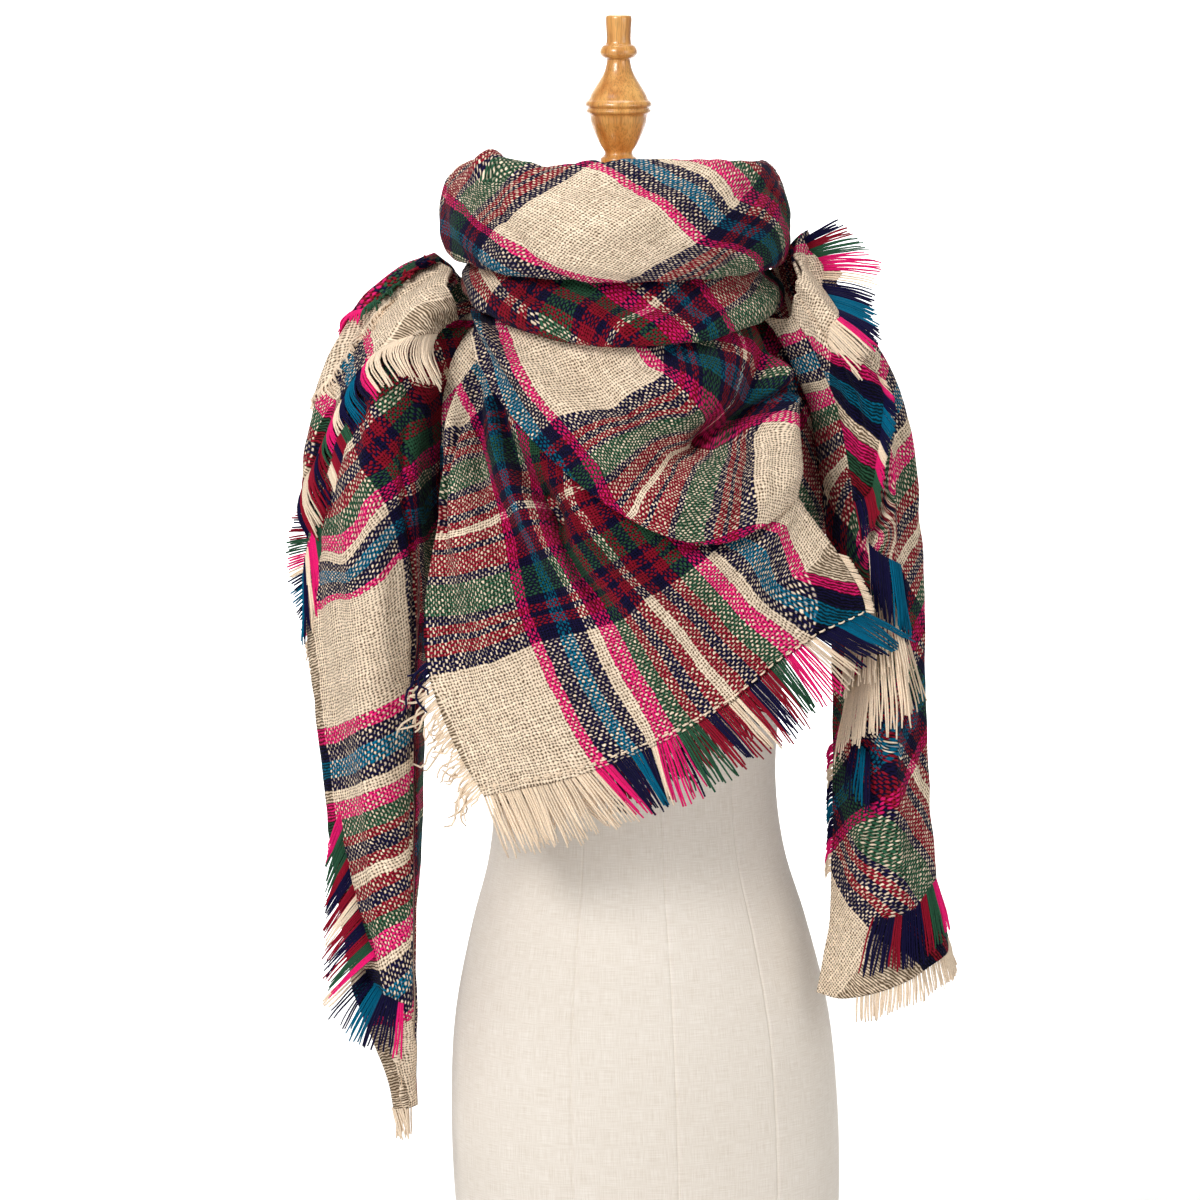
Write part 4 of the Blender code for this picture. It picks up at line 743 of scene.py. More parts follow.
def one_side(capes, tails, hand):
    """A side stretch as two nets that share a line, and the plain shoulder and tail.

    The nets are its front, from the shoulder down to the tail's tip, and the back of the shoulder. The
    layers on the stretch are placed by the plain shoulder and tail."""
    cape = side_net(capes, hand, SHOULDER_COLUMNS, SHOULDER_ROWS, CAPE_FOLDS)
    tail = side_net(tails, hand, *TAIL_NET, TAIL_FOLDS)
    rows = np.linspace(0, 1, SHOULDER_ROWS)[:, None]
    around = np.interp(np.linspace(0, 1, TAIL_NET[0]), TAIL_SHARES[1], TAIL_SHARES[0])
    front = np.concatenate([sample(cape, around + 0 * rows, rows + 0 * around)[:-1], tail])
    low, high = SHOULDER_ROWS - SETTLE_ROWS, SHOULDER_ROWS + SETTLE_ROWS - 1
    front = settled(front, low, high, SETTLE_TIMES)
    around = np.linspace(TAIL_SHARES[0][-1], 1, BACK_COLUMNS)
    back = sample(cape, around + 0 * rows, rows + 0 * around)
    fade = np.clip(1 - np.arange(BACK_COLUMNS) / BACK_FADE, 0, 1)[None, :, None]
    back = back + (front[:SHOULDER_ROWS, -1:] - back[:, :1]) * fade * fade * (3 - 2 * fade)
    return front, back, cape, tail


def lifted(net, folds, hand):
    """Folds raised outwards on a side stretch, whose columns run the other way on the left."""
    if hand > 0:
        return folded(net, folds)
    other = [fold._replace(across=1 - fold.across, to_across=1 - fold.to_across) for fold in folds]
    return folded(net[:, ::-1], other)[:, ::-1]


def sample(net, around, down):
    """Points of a net at shares round and down it."""
    rows, columns = net.shape[:2]
    r = np.clip(np.asarray(down, float), 0, 1) * (rows - 1)
    c = np.clip(np.asarray(around, float), 0, 1) * (columns - 1)
    i, j = np.minimum(r.astype(int), rows - 2), np.minimum(c.astype(int), columns - 2)
    a, b = (r - i)[..., None], (c - j)[..., None]
    upper = net[i, j] * (1 - b) + net[i, j + 1] * b
    return upper * (1 - a) + (net[i + 1, j] * (1 - b) + net[i + 1, j + 1] * b) * a


def side_at(cape, tail, hand, around, down, lift):
    """Points at shares round and down a shoulder and on down its tail, raised off the cloth."""
    around, down = np.broadcast_arrays(np.asarray(around, float), np.asarray(down, float))
    points = []
    on_tail = np.interp(around, *TAIL_SHARES)
    for net, share, turn in ((cape, down, around), (tail, down - 1, on_tail)):
        points.append(sample(net + faces_of(net, hand) * lift, turn, share))
    low = np.clip((down - 0.97) / 0.06, 0, 1)[..., None]
    return points[0] * (1 - low) + points[1] * low


def layer_net(cape, tail, hand, stations, folds, columns, rows):
    """The upper layer on a side stretch, from its stations, lifted more towards its hem."""
    table = through([(s.around, s.top, s.hem) for s in stations], np.linspace(0, 1, columns))
    t = np.linspace(0, 1, rows)[:, None]
    down = table[:, 1] * (1 - t) + table[:, 2] * t
    around = np.broadcast_to(table[:, 0], down.shape)
    low, high = (side_at(cape, tail, hand, around, down, lift) for lift in LAYER_LIFT[hand > 0])
    return lifted(low + (high - low) * t[..., None], folds, hand)


# ---------------------------------------------------------------- cloth coordinates


def coarse_grid(net, across, down):
    """Every so many points of a net: the points nearest to even steps across and down."""
    rows = np.linspace(0, len(net) - 1, down).round().astype(int)
    columns = np.linspace(0, net.shape[1] - 1, across).round().astype(int)
    return net[rows][:, columns], rows / (len(net) - 1), columns / (net.shape[1] - 1)


def laid_flat(net, pins, across=25, down=21, rounds=24, hold=60.0, ease=0.6):
    """Cloth coordinates (u, v), in metres, of every point of a net.

    A coarse grid of the net is laid flat so that each of its triangles keeps its shape as well as it
    can: its gradient is set to the nearest turn, then all points are solved for together, and so on.
    Springs hold the pinned points at their places, and bending of the grid's lines costs a little."""
    grid, rows_at, columns_at = coarse_grid(net, across, down)
    number = np.arange(down * across).reshape(down, across)
    a, b, c, d = number[:-1, :-1], number[:-1, 1:], number[1:, 1:], number[1:, :-1]
    threes = (a, b, c), (a, c, d), (a, b, d), (b, c, d)
    parts = np.concatenate([np.stack(three, -1).reshape(-1, 3) for three in threes])
    points = grid.reshape(-1, 3)
    first, second = (points[parts[:, k]] - points[parts[:, 0]] for k in (1, 2))
    x1 = np.linalg.norm(first, axis=1) + 1e-9
    x2 = np.sum(first * second, axis=1) / x1
    y2 = np.linalg.norm(np.cross(first, second), axis=1) / x1 + 1e-9
    area = 0.25 * x1 * y2
    gradient = np.zeros((len(parts), 2, 3))
    gradient[:, 0, 0], gradient[:, 0, 1] = -1 / x1, 1 / x1
    gradient[:, 1, 0], gradient[:, 1, 1], gradient[:, 1, 2] = (x2 / x1 - 1) / y2, -x2 / x1 / y2, 1 / y2
    matrix = np.zeros((len(points), len(points)))
    block = np.einsum("tki,tkj,t->tij", gradient, gradient, area)
    np.add.at(matrix, (parts[:, :, None].repeat(3, 2), parts[:, None, :].repeat(3, 1)), block)
    for line in (number, number.T):
        bend = np.zeros((line[1:-1].size, len(points)))
        row = np.arange(len(bend))
        for index, weight in ((line[:-2], 1.0), (line[1:-1], -2.0), (line[2:], 1.0)):
            bend[row, index.ravel()] += weight
        matrix += ease * bend.T @ bend
    springs = np.zeros((len(pins), len(points)))
    for spring, pin in zip(springs, pins):
        r = np.interp(pin.down, rows_at, np.arange(down))
        s = np.interp(pin.across, columns_at, np.arange(across))
        i, j = min(int(r), down - 2), min(int(s), across - 2)
        r, s = r - i, s - j
        spring[number[i : i + 2, j : j + 2]] += np.outer((1 - r, r), (1 - s, s))
    goal = np.array([(pin.u, pin.v) for pin in pins])
    matrix += hold * springs.T @ springs
    inverse = np.linalg.inv(matrix)
    x, y = lengths_along(grid, 1).ravel(), lengths_along(grid, 0).ravel()
    base = np.stack([x, y, np.ones(len(points))], axis=1)
    fit = np.linalg.lstsq(springs @ base, goal, rcond=None)[0]
    hand = np.sign(np.linalg.det(fit[:2]))
    flat = base @ fit
    for _ in range(rounds):
        slopes = np.einsum("tki,tic->tck", gradient, flat[parts])
        left, _, right = np.linalg.svd(slopes)
        turn = np.sign(np.linalg.det(left) * np.linalg.det(right)) * hand
        left[:, :, 1] *= turn[:, None]
        target = np.einsum("tck,tki,t->tic", left @ right, gradient, area)
        pull = hold * springs.T @ goal
        np.add.at(pull, parts.ravel(), target.reshape(-1, 2))
        flat = inverse @ pull
    flat = smooth(flat.reshape(down, across, 2), rows_at, np.linspace(0, 1, len(net)))
    flat = smooth(flat.transpose(1, 0, 2), columns_at, np.linspace(0, 1, net.shape[1]))
    return flat.transpose(1, 0, 2)


def in_view(points):
    """Millimetres right of and above the middle of the view, and the way to the eye, for points."""
    eye = np.array(AIM) + FAR * np.array((0, -cos(RAISED), sin(RAISED)))
    off = points - eye
    deep = off @ (0, cos(RAISED), -sin(RAISED))
    flat = np.stack([off[..., 0], off @ (0, sin(RAISED), cos(RAISED))], axis=-1)
    return 1000 * FAR * flat / deep[..., None], -off


# What counts as farther from a mark, in millimetres: a face turned away, a point behind the neck, and
# each metre to the back.
AWAY, BEHIND, BACK = 12.0, 200.0, 20.0


def seen_on(net, marks, hand=1):
    """Shares across and down a net where it is seen at each (right, up) mark: its nearest point."""
    flat, to_eye = in_view(net[..., :3])
    y, away = net[..., 1], np.sum(faces_of(net, hand) * to_eye, axis=2) < 0
    hidden = AWAY * away + BEHIND * (y > 0.02) + BACK * y
    shares = []
    for right, up in marks:
        far = np.hypot(flat[..., 0] - right, flat[..., 1] - up) + hidden
        i, j = np.unravel_index(np.argmin(far), far.shape)
        shares.append((j / (net.shape[1] - 1), i / (net.shape[0] - 1)))
    return shares


def pinned(net, seen, hand=1):
    """Pins on a net from the places that are seen on it."""
    shares = seen_on(net, [(place.right, place.up) for place in seen], hand)
    return [Pin(s, t, place.u / 1000, place.v / 1000) for (s, t), place in zip(shares, seen)]


def parted_cloth(net, fold, pins, inner_pins, agree):
    """A net with cloth coordinates, where a deep fold down it, at a share across, hides some cloth.

    The two sides are laid flat apart, and agree along the fold between two shares down."""
    column = round(fold * (net.shape[1] - 1))
    fold = column / (net.shape[1] - 1)
    beyond = [pin for pin in pins if pin.across > fold]
    beyond = [pin._replace(across=(pin.across - fold) / (1 - fold)) for pin in beyond]
    outer = laid_flat(net[:, column:], beyond, across=19, down=41)
    down = np.linspace(*agree, 8)
    line = sample(outer, 0 * down, down)
    shared = [Pin(1.0, t, *place) for t, place in zip(down, line)]
    within = [pin for pin in (*pins, *inner_pins) if pin.across <= fold]
    within = [pin._replace(across=pin.across / fold) for pin in within]
    inner = laid_flat(net[:, : column + 1], within + shared, across=9 if fold < 0.3 else 13, down=41)
    return np.concatenate([net, np.concatenate([inner[:, :-1], outer], axis=1)], axis=2)


def joined_cloth(front, back, fold, pins, inner_pins, agree):
    """A side stretch's two nets with cloth coordinates, which agree on the line that the nets share."""
    front = parted_cloth(front, fold, pins, inner_pins, agree)
    rows = np.linspace(0, 1, 12)
    line = sample(front[:SHOULDER_ROWS], 1 + 0 * rows, rows)
    inside = sample(front[:SHOULDER_ROWS], 0.96 + 0 * rows, rows)
    onward = 2 * line - inside
    wide = np.linalg.norm(np.diff(back, axis=1), axis=2).sum(axis=1).mean()
    step = np.linalg.norm((line - inside)[:, :3], axis=1) / wide
    shared = [Pin(0.0, r, *p[3:]) for r, p in zip(rows, line)]
    shared += [Pin(s, r, *p[3:]) for r, p, s in zip(rows, onward, step)]
    return front, with_cloth(back, shared, hold=300.0)


def with_cloth(net, pins, **more):
    """The net with its cloth coordinates as two more numbers at each point."""
    return np.concatenate([net, laid_flat(net, pins, **more)], axis=2)


# ---------------------------------------------------------------- finishes


def dye(red, green, blue):
    """A screen colour as the light it gives."""
    values = np.array((red, green, blue)) / 255
    return (*np.where(values > 0.04045, ((values + 0.055) / 1.055) ** 2.4, values / 12.92).tolist(), 1.0)


class Value:
    """A number in a node tree. What is worked out with it becomes Math nodes."""

    def __init__(self, tree, socket):
        self.tree, self.socket = tree, socket

    def __add__(self, other):
        return maths(self.tree, "ADD", self, other)

    def __sub__(self, other):
        return maths(self.tree, "SUBTRACT", self, other)

    def __rsub__(self, other):
        return maths(self.tree, "SUBTRACT", other, self)

    def __mul__(self, other):
        return maths(self.tree, "MULTIPLY", self, other)

    def __truediv__(self, other):
        return maths(self.tree, "DIVIDE", self, other)

    def scaled(self, factor, plus):
        """The number times a factor, plus another."""
        return maths(self.tree, "MULTIPLY_ADD", self, factor, plus)

    def ranged(self, low, high, to_low=0.0, to_high=1.0):
        """The number taken from one range to another, and held inside it."""
        made = add_node(self.tree, "MapRange", *enumerate((self, low, high, to_low, to_high)))
        return Value(self.tree, made.outputs[0])


def add_node(tree, kind, *links, **settings):
    """A node with its settings; each link is an input's name or number and what goes into it."""
    made = tree.nodes.new("ShaderNode" + kind)
    for name, value in settings.items():
        setattr(made, name, value)
    for into, value in links:
        value = value.socket if isinstance(value, Value) else value
        if isinstance(value, bpy.types.NodeSocket):
            tree.links.new(value, made.inputs[into])
        else:
            made.inputs[into].default_value = value
    return made


def maths(tree, operation, *values):
    """What one Math node gives."""
    return Value(tree, add_node(tree, "Math", *enumerate(values), operation=operation).outputs[0])


def mixed(tree, factor, first, second, blend="MIX"):
    """Two colours mixed by a factor."""
    made = add_node(tree, "Mix", (0, factor), (6, first), (7, second), data_type="RGBA", blend_type=blend)
    return made.outputs[2]


def shaded(tree, shader, colour, *light):
    """The shader's colour: a colour times a light, given once or for red, green and blue."""
    grey = add_node(tree, "CombineColor", *enumerate(light * (3 // len(light))))
    tree.links.new(mixed(tree, 1.0, colour, grey.outputs[0], "MULTIPLY"), shader.inputs["Base Color"])


def noise(tree, place, scale, detail=3.0, colour=False):
    """Noise at a place, in waves per metre, as one number or as a colour."""
    links = ("Vector", place), ("Scale", scale), ("Detail", detail), ("Roughness", 0.55)
    made = add_node(tree, "TexNoise", *links)
    return made.outputs["Color"] if colour else Value(tree, made.outputs["Fac"])


def chance(tree, **place):
    """A number from 0 to 1 that differs from one whole number W, or Vector of two, to the next."""
    size = "1D" if "W" in place else "2D"
    return Value(tree, add_node(tree, "TexWhiteNoise", *place.items(), noise_dimensions=size).outputs[0])


def finish(name, roughness):
    """An empty material: (material, its tree, its shader)."""
    made = bpy.data.materials.new(name)
    made.use_nodes = True
    shader = made.node_tree.nodes["Principled BSDF"]
    shader.inputs["Roughness"].default_value = roughness
    return made, made.node_tree, shader


def raise_by(tree, shader, height, distance, strength):
    """A bump on the shader."""
    made = add_node(tree, "Bump", ("Height", height), ("Distance", distance), ("Strength", strength))
    tree.links.new(made.outputs[0], shader.inputs["Normal"])


def stripes(tree, at, sett):
    """The colour of the stripe at a distance in metres: a ramp with a stop for each stripe of a repeat.

    Its second output is 1 where the stripe is dyed and 0 where it is cream."""
    band = (*sett.band, *sett.band[-2::-1], Stripe("cream", sett.between))
    whole = sum(stripe.width for stripe in band)
    within = maths(tree, "MINIMUM", maths(tree, "MAXIMUM", at, PLAIN_EDGE), SQUARE - PLAIN_EDGE)
    share = within * 1000.0 / whole + WHOLE_REPEATS - sett.edge / whole
    ramp = add_node(tree, "ValToRGB", ("Fac", maths(tree, "FRACT", share)))
    ramp.color_ramp.interpolation = "CONSTANT"
    stops, start = ramp.color_ramp.elements, 0.0
    for index, stripe in enumerate(band):
        stop = stops[index] if index < 2 else stops.new(start / whole)
        dyed = float(stripe.colour != "cream")
        stop.position, stop.color = start / whole, (*dye(*DYES[stripe.colour])[:3], dyed)
        start += stripe.width
    return ramp.outputs[0], Value(tree, ramp.outputs[1])


def woolly(shader):
    """A brushed yarn's soft sheen."""
    shader.inputs["Sheen Weight"].default_value = 0.03
    shader.inputs["Sheen Roughness"].default_value = 0.5
    shader.inputs["Specular IOR Level"].default_value = 0.05


def wandering(tree, place):
    """A place on the cloth, moved by slow and by quick noise, so that no yarn runs straight."""
    moved = place
    for scale, detail, far in WANDER:
        shift = noise(tree, place, scale, detail, colour=True)
        for operation, by in (("SUBTRACT", (0.5, 0.5, 0.5)), ("MULTIPLY", (far, far, 0))):
            shift = add_node(tree, "VectorMath", (0, shift), (1, by), operation=operation).outputs[0]
        moved = add_node(tree, "VectorMath", (0, moved), (1, shift), operation="ADD").outputs[0]
    return moved


def woven_wool(name, striped=True):
    """Brushed plain weave: across and down yarns take turns on top, each in its own stripe's colour.

    With a = |sin(pi u/p)| and b = |sin(pi v/p)| the yarns' round tops, and W = sin sin, which changes
    sign from crossing to crossing, the across yarn is on top where a + kW > b - kW. Chance and fine
    grain move that line. The two colours blend near it, and less light comes out of the gaps."""
    made, tree, shader = finish(name, 0.92)
    woolly(shader)
    place = wandering(tree, add_node(tree, "UVMap", uv_map="cloth").outputs[0])
    split = add_node(tree, "SeparateXYZ", (0, place))
    counts = [Value(tree, split.outputs[axis]) / YARN_PITCH for axis in (0, 1)]
    numbers = [maths(tree, "FLOOR", count) for count in counts]
    middles = [(number + 0.5) * YARN_PITCH for number in numbers]
    waves = [maths(tree, "SINE", count * pi) for count in counts]
    tints = [chance(tree, W=number) for number in numbers]
    crossing = add_node(tree, "CombineXYZ", *enumerate(numbers)).outputs[0]
    grain = noise(tree, place, 1100.0, 2.0) - 0.5
    stray = (chance(tree, Vector=crossing) - 0.5).scaled(1.1, grain * 1.6)
    turn = waves[0] * waves[1] * WEAVE_TURN
    tops = [maths(tree, "ABSOLUTE", wave) for wave in waves]
    first = tops[0] + (turn + stray)
    second = tops[1] - turn
    if striped:
        across, across_dyed = stripes(tree, middles[0], ACROSS)
        down, down_dyed = stripes(tree, middles[1], DOWN)
        first = across_dyed.scaled(DYED_FULLER, first)
        second = down_dyed.scaled(DYED_FULLER, second)
    loose = [maths(tree, "LESS_THAN", middle, 0.0) for middle in middles]  # past the edge is fringe
    first = loose[0].scaled(-4.0, first)
    second = loose[1].scaled(-4.0, second)
    above = (first - second).ranged(-BLEND, BLEND)
    squares = [top * top * (1.0 - none) for top, none in zip(tops, loose)]
    gap = (squares[0] + squares[1] + stray * 0.35).ranged(0.22, 1.15, GAP_LIGHT, 1.0)
    tint = add_node(tree, "Mix", (0, above), (2, tints[1]), (3, tints[0]), data_type="FLOAT").outputs[0]
    fuzz = noise(tree, place, 1500.0, 2.0)
    patch = noise(tree, place, 14.0, 3.0)
    light = Value(tree, tint).scaled(0.26, patch.scaled(0.30, 0.80)) * fuzz.scaled(0.6, 0.70) * gap
    if striped:
        light = light * (across_dyed * down_dyed).scaled(-TWICE_DYED, 1.0)
    warm = [maths(tree, "POWER", light, power) for power in WARMER]
    shaded(tree, shader, mixed(tree, above, down, across) if striped else dye(*DYES["cream"]), *warm)
    raise_by(tree, shader, fuzz.scaled(0.5, maths(tree, "MAXIMUM", first, second)), 0.0006, 0.8)
    return made


def loose_yarn(name, sett):
    """Fringe yarn in its own stripe's colour, each yarn a little lighter or darker, with some fuzz."""
    made, tree, shader = finish(name, 0.9)
    woolly(shader)
    place = add_node(tree, "UVMap", uv_map="cloth").outputs[0]
    split = add_node(tree, "SeparateXYZ", (0, place))
    number = maths(tree, "FLOOR", Value(tree, split.outputs[0 if sett is ACROSS else 1]) / YARN_PITCH)
    where = add_node(tree, "TexCoord").outputs["Object"]
    fuzz = noise(tree, where, 900.0, 2.0)
    light = chance(tree, W=number).scaled(0.25, 0.85) * fuzz.scaled(0.7, 0.65)
    shaded(tree, shader, stripes(tree, (number + 0.5) * YARN_PITCH, sett)[0], light)
    raise_by(tree, shader, fuzz, 0.0004, 0.6)
    return made


def linen_cover(name):
    """Unbleached linen: fine slubs both ways, from noise stretched along and across the cover's map."""
    made, tree, shader = finish(name, 0.85)
    shader.inputs["Sheen Weight"].default_value = 0.15
    place = add_node(tree, "UVMap", uv_map="cover").outputs[0]
    slubs = []
    for stretch in ((1800, 60, 1), (60, 1800, 1)):
        long = add_node(tree, "Mapping", ("Vector", place), ("Scale", stretch))
        slubs.append(noise(tree, long.outputs[0], 1.0, 2.0))
    both = slubs[0] + slubs[1]
    colour = mixed(tree, both.ranged(0.7, 1.3), dye(222, 211, 197), dye(243, 236, 227))
    patch = mixed(tree, noise(tree, place, 6.0, 2.0), dye(240, 238, 235), dye(255, 255, 255))
    tree.links.new(mixed(tree, 1.0, colour, patch, "MULTIPLY"), shader.inputs["Base Color"])
    raise_by(tree, shader, both, 0.0003, 0.5)
    return made


def honey_wood(name):
    """Turned hardwood under clear lacquer: noise stretched along the grain, with fine dark pores."""
    made, tree, shader = finish(name, 0.32)
    shader.inputs["Coat Weight"].default_value = 0.5
    shader.inputs["Coat Roughness"].default_value = 0.12
    where = add_node(tree, "TexCoord").outputs["Object"]
    broad = add_node(tree, "Mapping", ("Vector", where), ("Scale", (90, 90, 9)))
    fine = add_node(tree, "Mapping", ("Vector", where), ("Scale", (900, 900, 45)))
    grain, pores = noise(tree, broad.outputs[0], 1.0, 4.0), noise(tree, fine.outputs[0], 1.0, 2.0)
    ramp = add_node(tree, "ValToRGB", ("Fac", grain))
    stops = ramp.color_ramp.elements
    stops[0].position, stops[0].color = 0.30, dye(190, 118, 48)
    stops[1].position, stops[1].color = 0.68, dye(242, 184, 104)
    shaded(tree, shader, ramp.outputs[0], pores.ranged(0.38, 0.52, 0.72, 1.0))
    raise_by(tree, shader, pores, 0.0002, 0.3)
    return made


def pale_floor(name):
    """A plain pale studio floor with the faintest mottle."""
    made, tree, shader = finish(name, 0.9)
    where = add_node(tree, "TexCoord").outputs["Object"]
    mottle = mixed(tree, noise(tree, where, 3.0), dye(250, 250, 250), dye(255, 255, 255))
    tree.links.new(mottle, shader.inputs["Base Color"])
    return made


# ---------------------------------------------------------------- pieces


def add_mesh(name, points, faces, look, flat=None, layer="cloth"):
    """A smooth mesh; flat gives each point's place on the piece's own map, which layer names."""
    mesh = bpy.data.meshes.new(name)
    mesh.from_pydata(points.reshape(-1, 3).tolist(), [], faces)
    if flat is not None:
        corner = np.empty(len(mesh.loops), np.int32)
        mesh.loops.foreach_get("vertex_index", corner)
        places = flat.reshape(-1, 2)[corner].astype(np.float32)
        mesh.uv_layers.new(name=layer).data.foreach_set("uv", places.ravel())
    mesh.materials.append(look)
    mesh.shade_smooth()
    made = bpy.data.objects.new(name, mesh)
    bpy.context.scene.collection.objects.link(made)
    return made


def declare(made, nodes=()):
    """A piece of the part's one body and the nodes whose place it takes."""
    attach(made, "root")
    if nodes:
        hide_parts(*nodes)


def net_faces(rows, columns, closed=False):
    """The quads of a net, as an array."""
    index = np.arange(rows * columns).reshape(rows, columns)
    return grid_faces(np.concatenate([index, index[:, :1]], axis=1) if closed else index)


def grid_faces(index):
    """The quads of a grid of point numbers whose rows run down and columns right."""
    corners = [index[:-1, :-1], index[1:, :-1], index[1:, 1:], index[:-1, 1:]]
    return np.stack(corners, axis=-1).reshape(-1, 4)


def cloth_piece(name, net, look, nodes, rests_on, more=None, hand=1):
    """A stretch of cloth: its net, with cloth coordinates, made a wall by Solidify, declared in place of
    its nodes.

    A second net goes on from the last column of the first one's upper rows."""
    index = np.arange(net.shape[0] * net.shape[1]).reshape(net.shape[:2])
    points, faces, nets = net.reshape(-1, 5), grid_faces(index), [net[..., :3]]
    if more is not None:
        rows, columns = more.shape[:2]
        onward = index.size + np.arange(rows * (columns - 1)).reshape(rows, columns - 1)
        points = np.concatenate([points, more[:, 1:].reshape(-1, 5)])
        faces = np.concatenate([faces, grid_faces(np.concatenate([index[:rows, -1:], onward], axis=1))])
        nets.append(more[..., :3])
    made = add_mesh(name, points[:, :3], faces[:, ::hand].tolist(), look, points[:, 3:])
    wall = made.modifiers.new("wall", "SOLIDIFY")
    wall.thickness, wall.offset, wall.use_even_offset = CLOTH, -1.0, False
    declare(made, nodes)


TUBE_SIDES = 4


def tubes(paths, radii, face):
    """Tubes along many paths at once, given as (strands, rings, 3): their points, and quads and caps."""
    strands, rings = paths.shape[:2]
    along = units(np.gradient(paths, axis=1))
    side = units(np.cross(along, face))
    other = np.cross(along, side)
    turn = np.arange(TUBE_SIDES) * 2 * pi / TUBE_SIDES
    ring = side[:, :, None] * np.cos(turn)[:, None] + other[:, :, None] * np.sin(turn)[:, None]
    points = paths[:, :, None] + ring * radii[..., None, None]
    start = np.arange(TUBE_SIDES)
    caps = [start[::-1], start + TUBE_SIDES * (rings - 1)]
    one = np.concatenate([net_faces(rings, TUBE_SIDES, True)[:, ::-1], caps])
    first = (np.arange(strands) * rings * TUBE_SIDES)[:, None, None]
    return points.reshape(-1, 3), (one + first).reshape(-1, 4).tolist()


FRINGE_RINGS = 8
FRINGE_RADIUS = 0.00096
NEW_LOCK = 0.22  # the chance that a yarn starts a new lock
ROOT = 0.004  # how far inside the weave a yarn starts


def fringe(name, edge, on, hangs, face, look, nodes, length, seed,
           spread=0.045, wave=0.012, clump=0.14, sag=0.06, pitch=0.0020, ragged=0.06):
    """Loose yarns along a cloth's edge, given as points with cloth coordinates.

    Each yarn starts a little inside the weave, leaves it the way its own thread runs and bends over to
    the way it hangs. The yarns of a lock lean together and draw to its middle, and each waves a little."""
    run = np.linalg.norm(np.diff(edge[:, :3], axis=0), axis=1).sum()
    count = max(int(run / pitch), 3)
    draw = np.random.default_rng(seed)
    at = (np.arange(count) + 0.5 + draw.uniform(-0.25, 0.25, count)) / count
    root, on, face, hang = (through(line, at) for line in (edge, on, face, hangs))
    flat, root, on, hang, face = root[:, 3:], root[:, :3], units(on), units(hang), units(face)
    lock = np.cumsum(draw.uniform(0, 1, count) < NEW_LOCK)
    shared = draw.normal(0, spread, (lock[-1] + 1, 3))[lock]
    size = np.bincount(lock).clip(1)
    centre = np.stack([np.bincount(lock, root[:, k]) / size for k in range(3)], axis=1)[lock]
    lengths = np.atleast_1d(length)
    long = np.interp(at, np.linspace(0, 1, len(lengths)), lengths)[:, None, None]
    uneven_by = ragged * draw.normal(0, 1, count) + 0.6 * ragged * np.sin(lock * 2.1)
    long = long * (1 + uneven_by)[:, None, None]
    lean = units(hang + shared + draw.normal(0, 0.35 * spread, (count, 3)))
    s = np.linspace(0, 1, FRINGE_RINGS)[None, :, None]
    bend = np.clip(s * 1.6, 0, 1) ** 1.5
    ways = units(on[:, None] * (1 - bend) + lean[:, None] * bend - np.array((0, 0, sag)) * s)
    steps = np.concatenate([np.zeros((count, 1, 3)), 0.5 * (ways[:, 1:] + ways[:, :-1])], axis=1)
    path = root[:, None] + np.cumsum(steps, axis=1) * long / (FRINGE_RINGS - 1)
    path = path + (centre - root)[:, None] * clump * s**1.5
    across = units(np.cross(face, lean))[:, None]
    swing = np.sin(s * draw.uniform(4, 9, (count, 1, 1)) + draw.uniform(0, 6, (count, 1, 1)))
    path = path + (across * swing + face[:, None] * np.roll(swing, 3, axis=0)) * s * wave * long
    path = path - on[:, None] * ROOT * (s == 0) - face[:, None] * 0.5 * CLOTH * (1 - s) ** 2
    thick = FRINGE_RADIUS * draw.uniform(0.85, 1.15, count)[:, None] * (1 - 0.3 * s[..., 0] ** 4)
    points, faces = tubes(path, thick, face[:, None])
    made = add_mesh(name, points, faces, look, flat.repeat(TUBE_SIDES * FRINGE_RINGS, axis=0))
    declare(made, nodes)


def thread_ways(net, axis):
    """At each point of a net, the way that the yarns coloured along u (axis 0) or v (axis 1) run.

    Steps across and down are mixed so that the yarn's own coordinate stands still."""
    s, t = np.gradient(net, axis=1), np.gradient(net, axis=0)
    ways = s[..., :3] * t[..., 3 + axis, None] - t[..., :3] * s[..., 3 + axis, None]
    return units(ways)


def along_edge(net, edge, inside, axis=0, hand=1):
    """A net's edge as yarns need it: its points, the line inside it, its faces and its threads' ways."""
    return net[edge].copy(), net[inside], faces_of(net, hand)[edge], thread_ways(net, axis)[edge]


def edge_yarns(name, edge, look, nodes, length, seed, hangs=None, thread=0.6, slant=0.0, **more):
    """A fringe on an edge. thread is the share in which its yarns leave it the way their threads run."""
    line, inside, face, ways = edge
    on = units(line[:, :3] - inside[:, :3])
    ways = ways * np.sign(np.sum(ways * on, axis=1, keepdims=True))
    on = units(on * (1 - thread) + ways * thread) + units(np.gradient(line[:, :3], axis=0)) * slant
    fringe(name, line, on, on if hangs is None else hangs, face, look, nodes, length, seed, **more)


STITCH = 0.0052  # how long a stitch of the hem shows
STITCH_STEP = 1.7  # from one to the next, in stitches
STITCH_RINGS = 5
STITCH_RADIUS = 0.0008
STITCH_RISE = (0.0004, 0.0010)  # how far its middle line lies off the cloth, and rises halfway


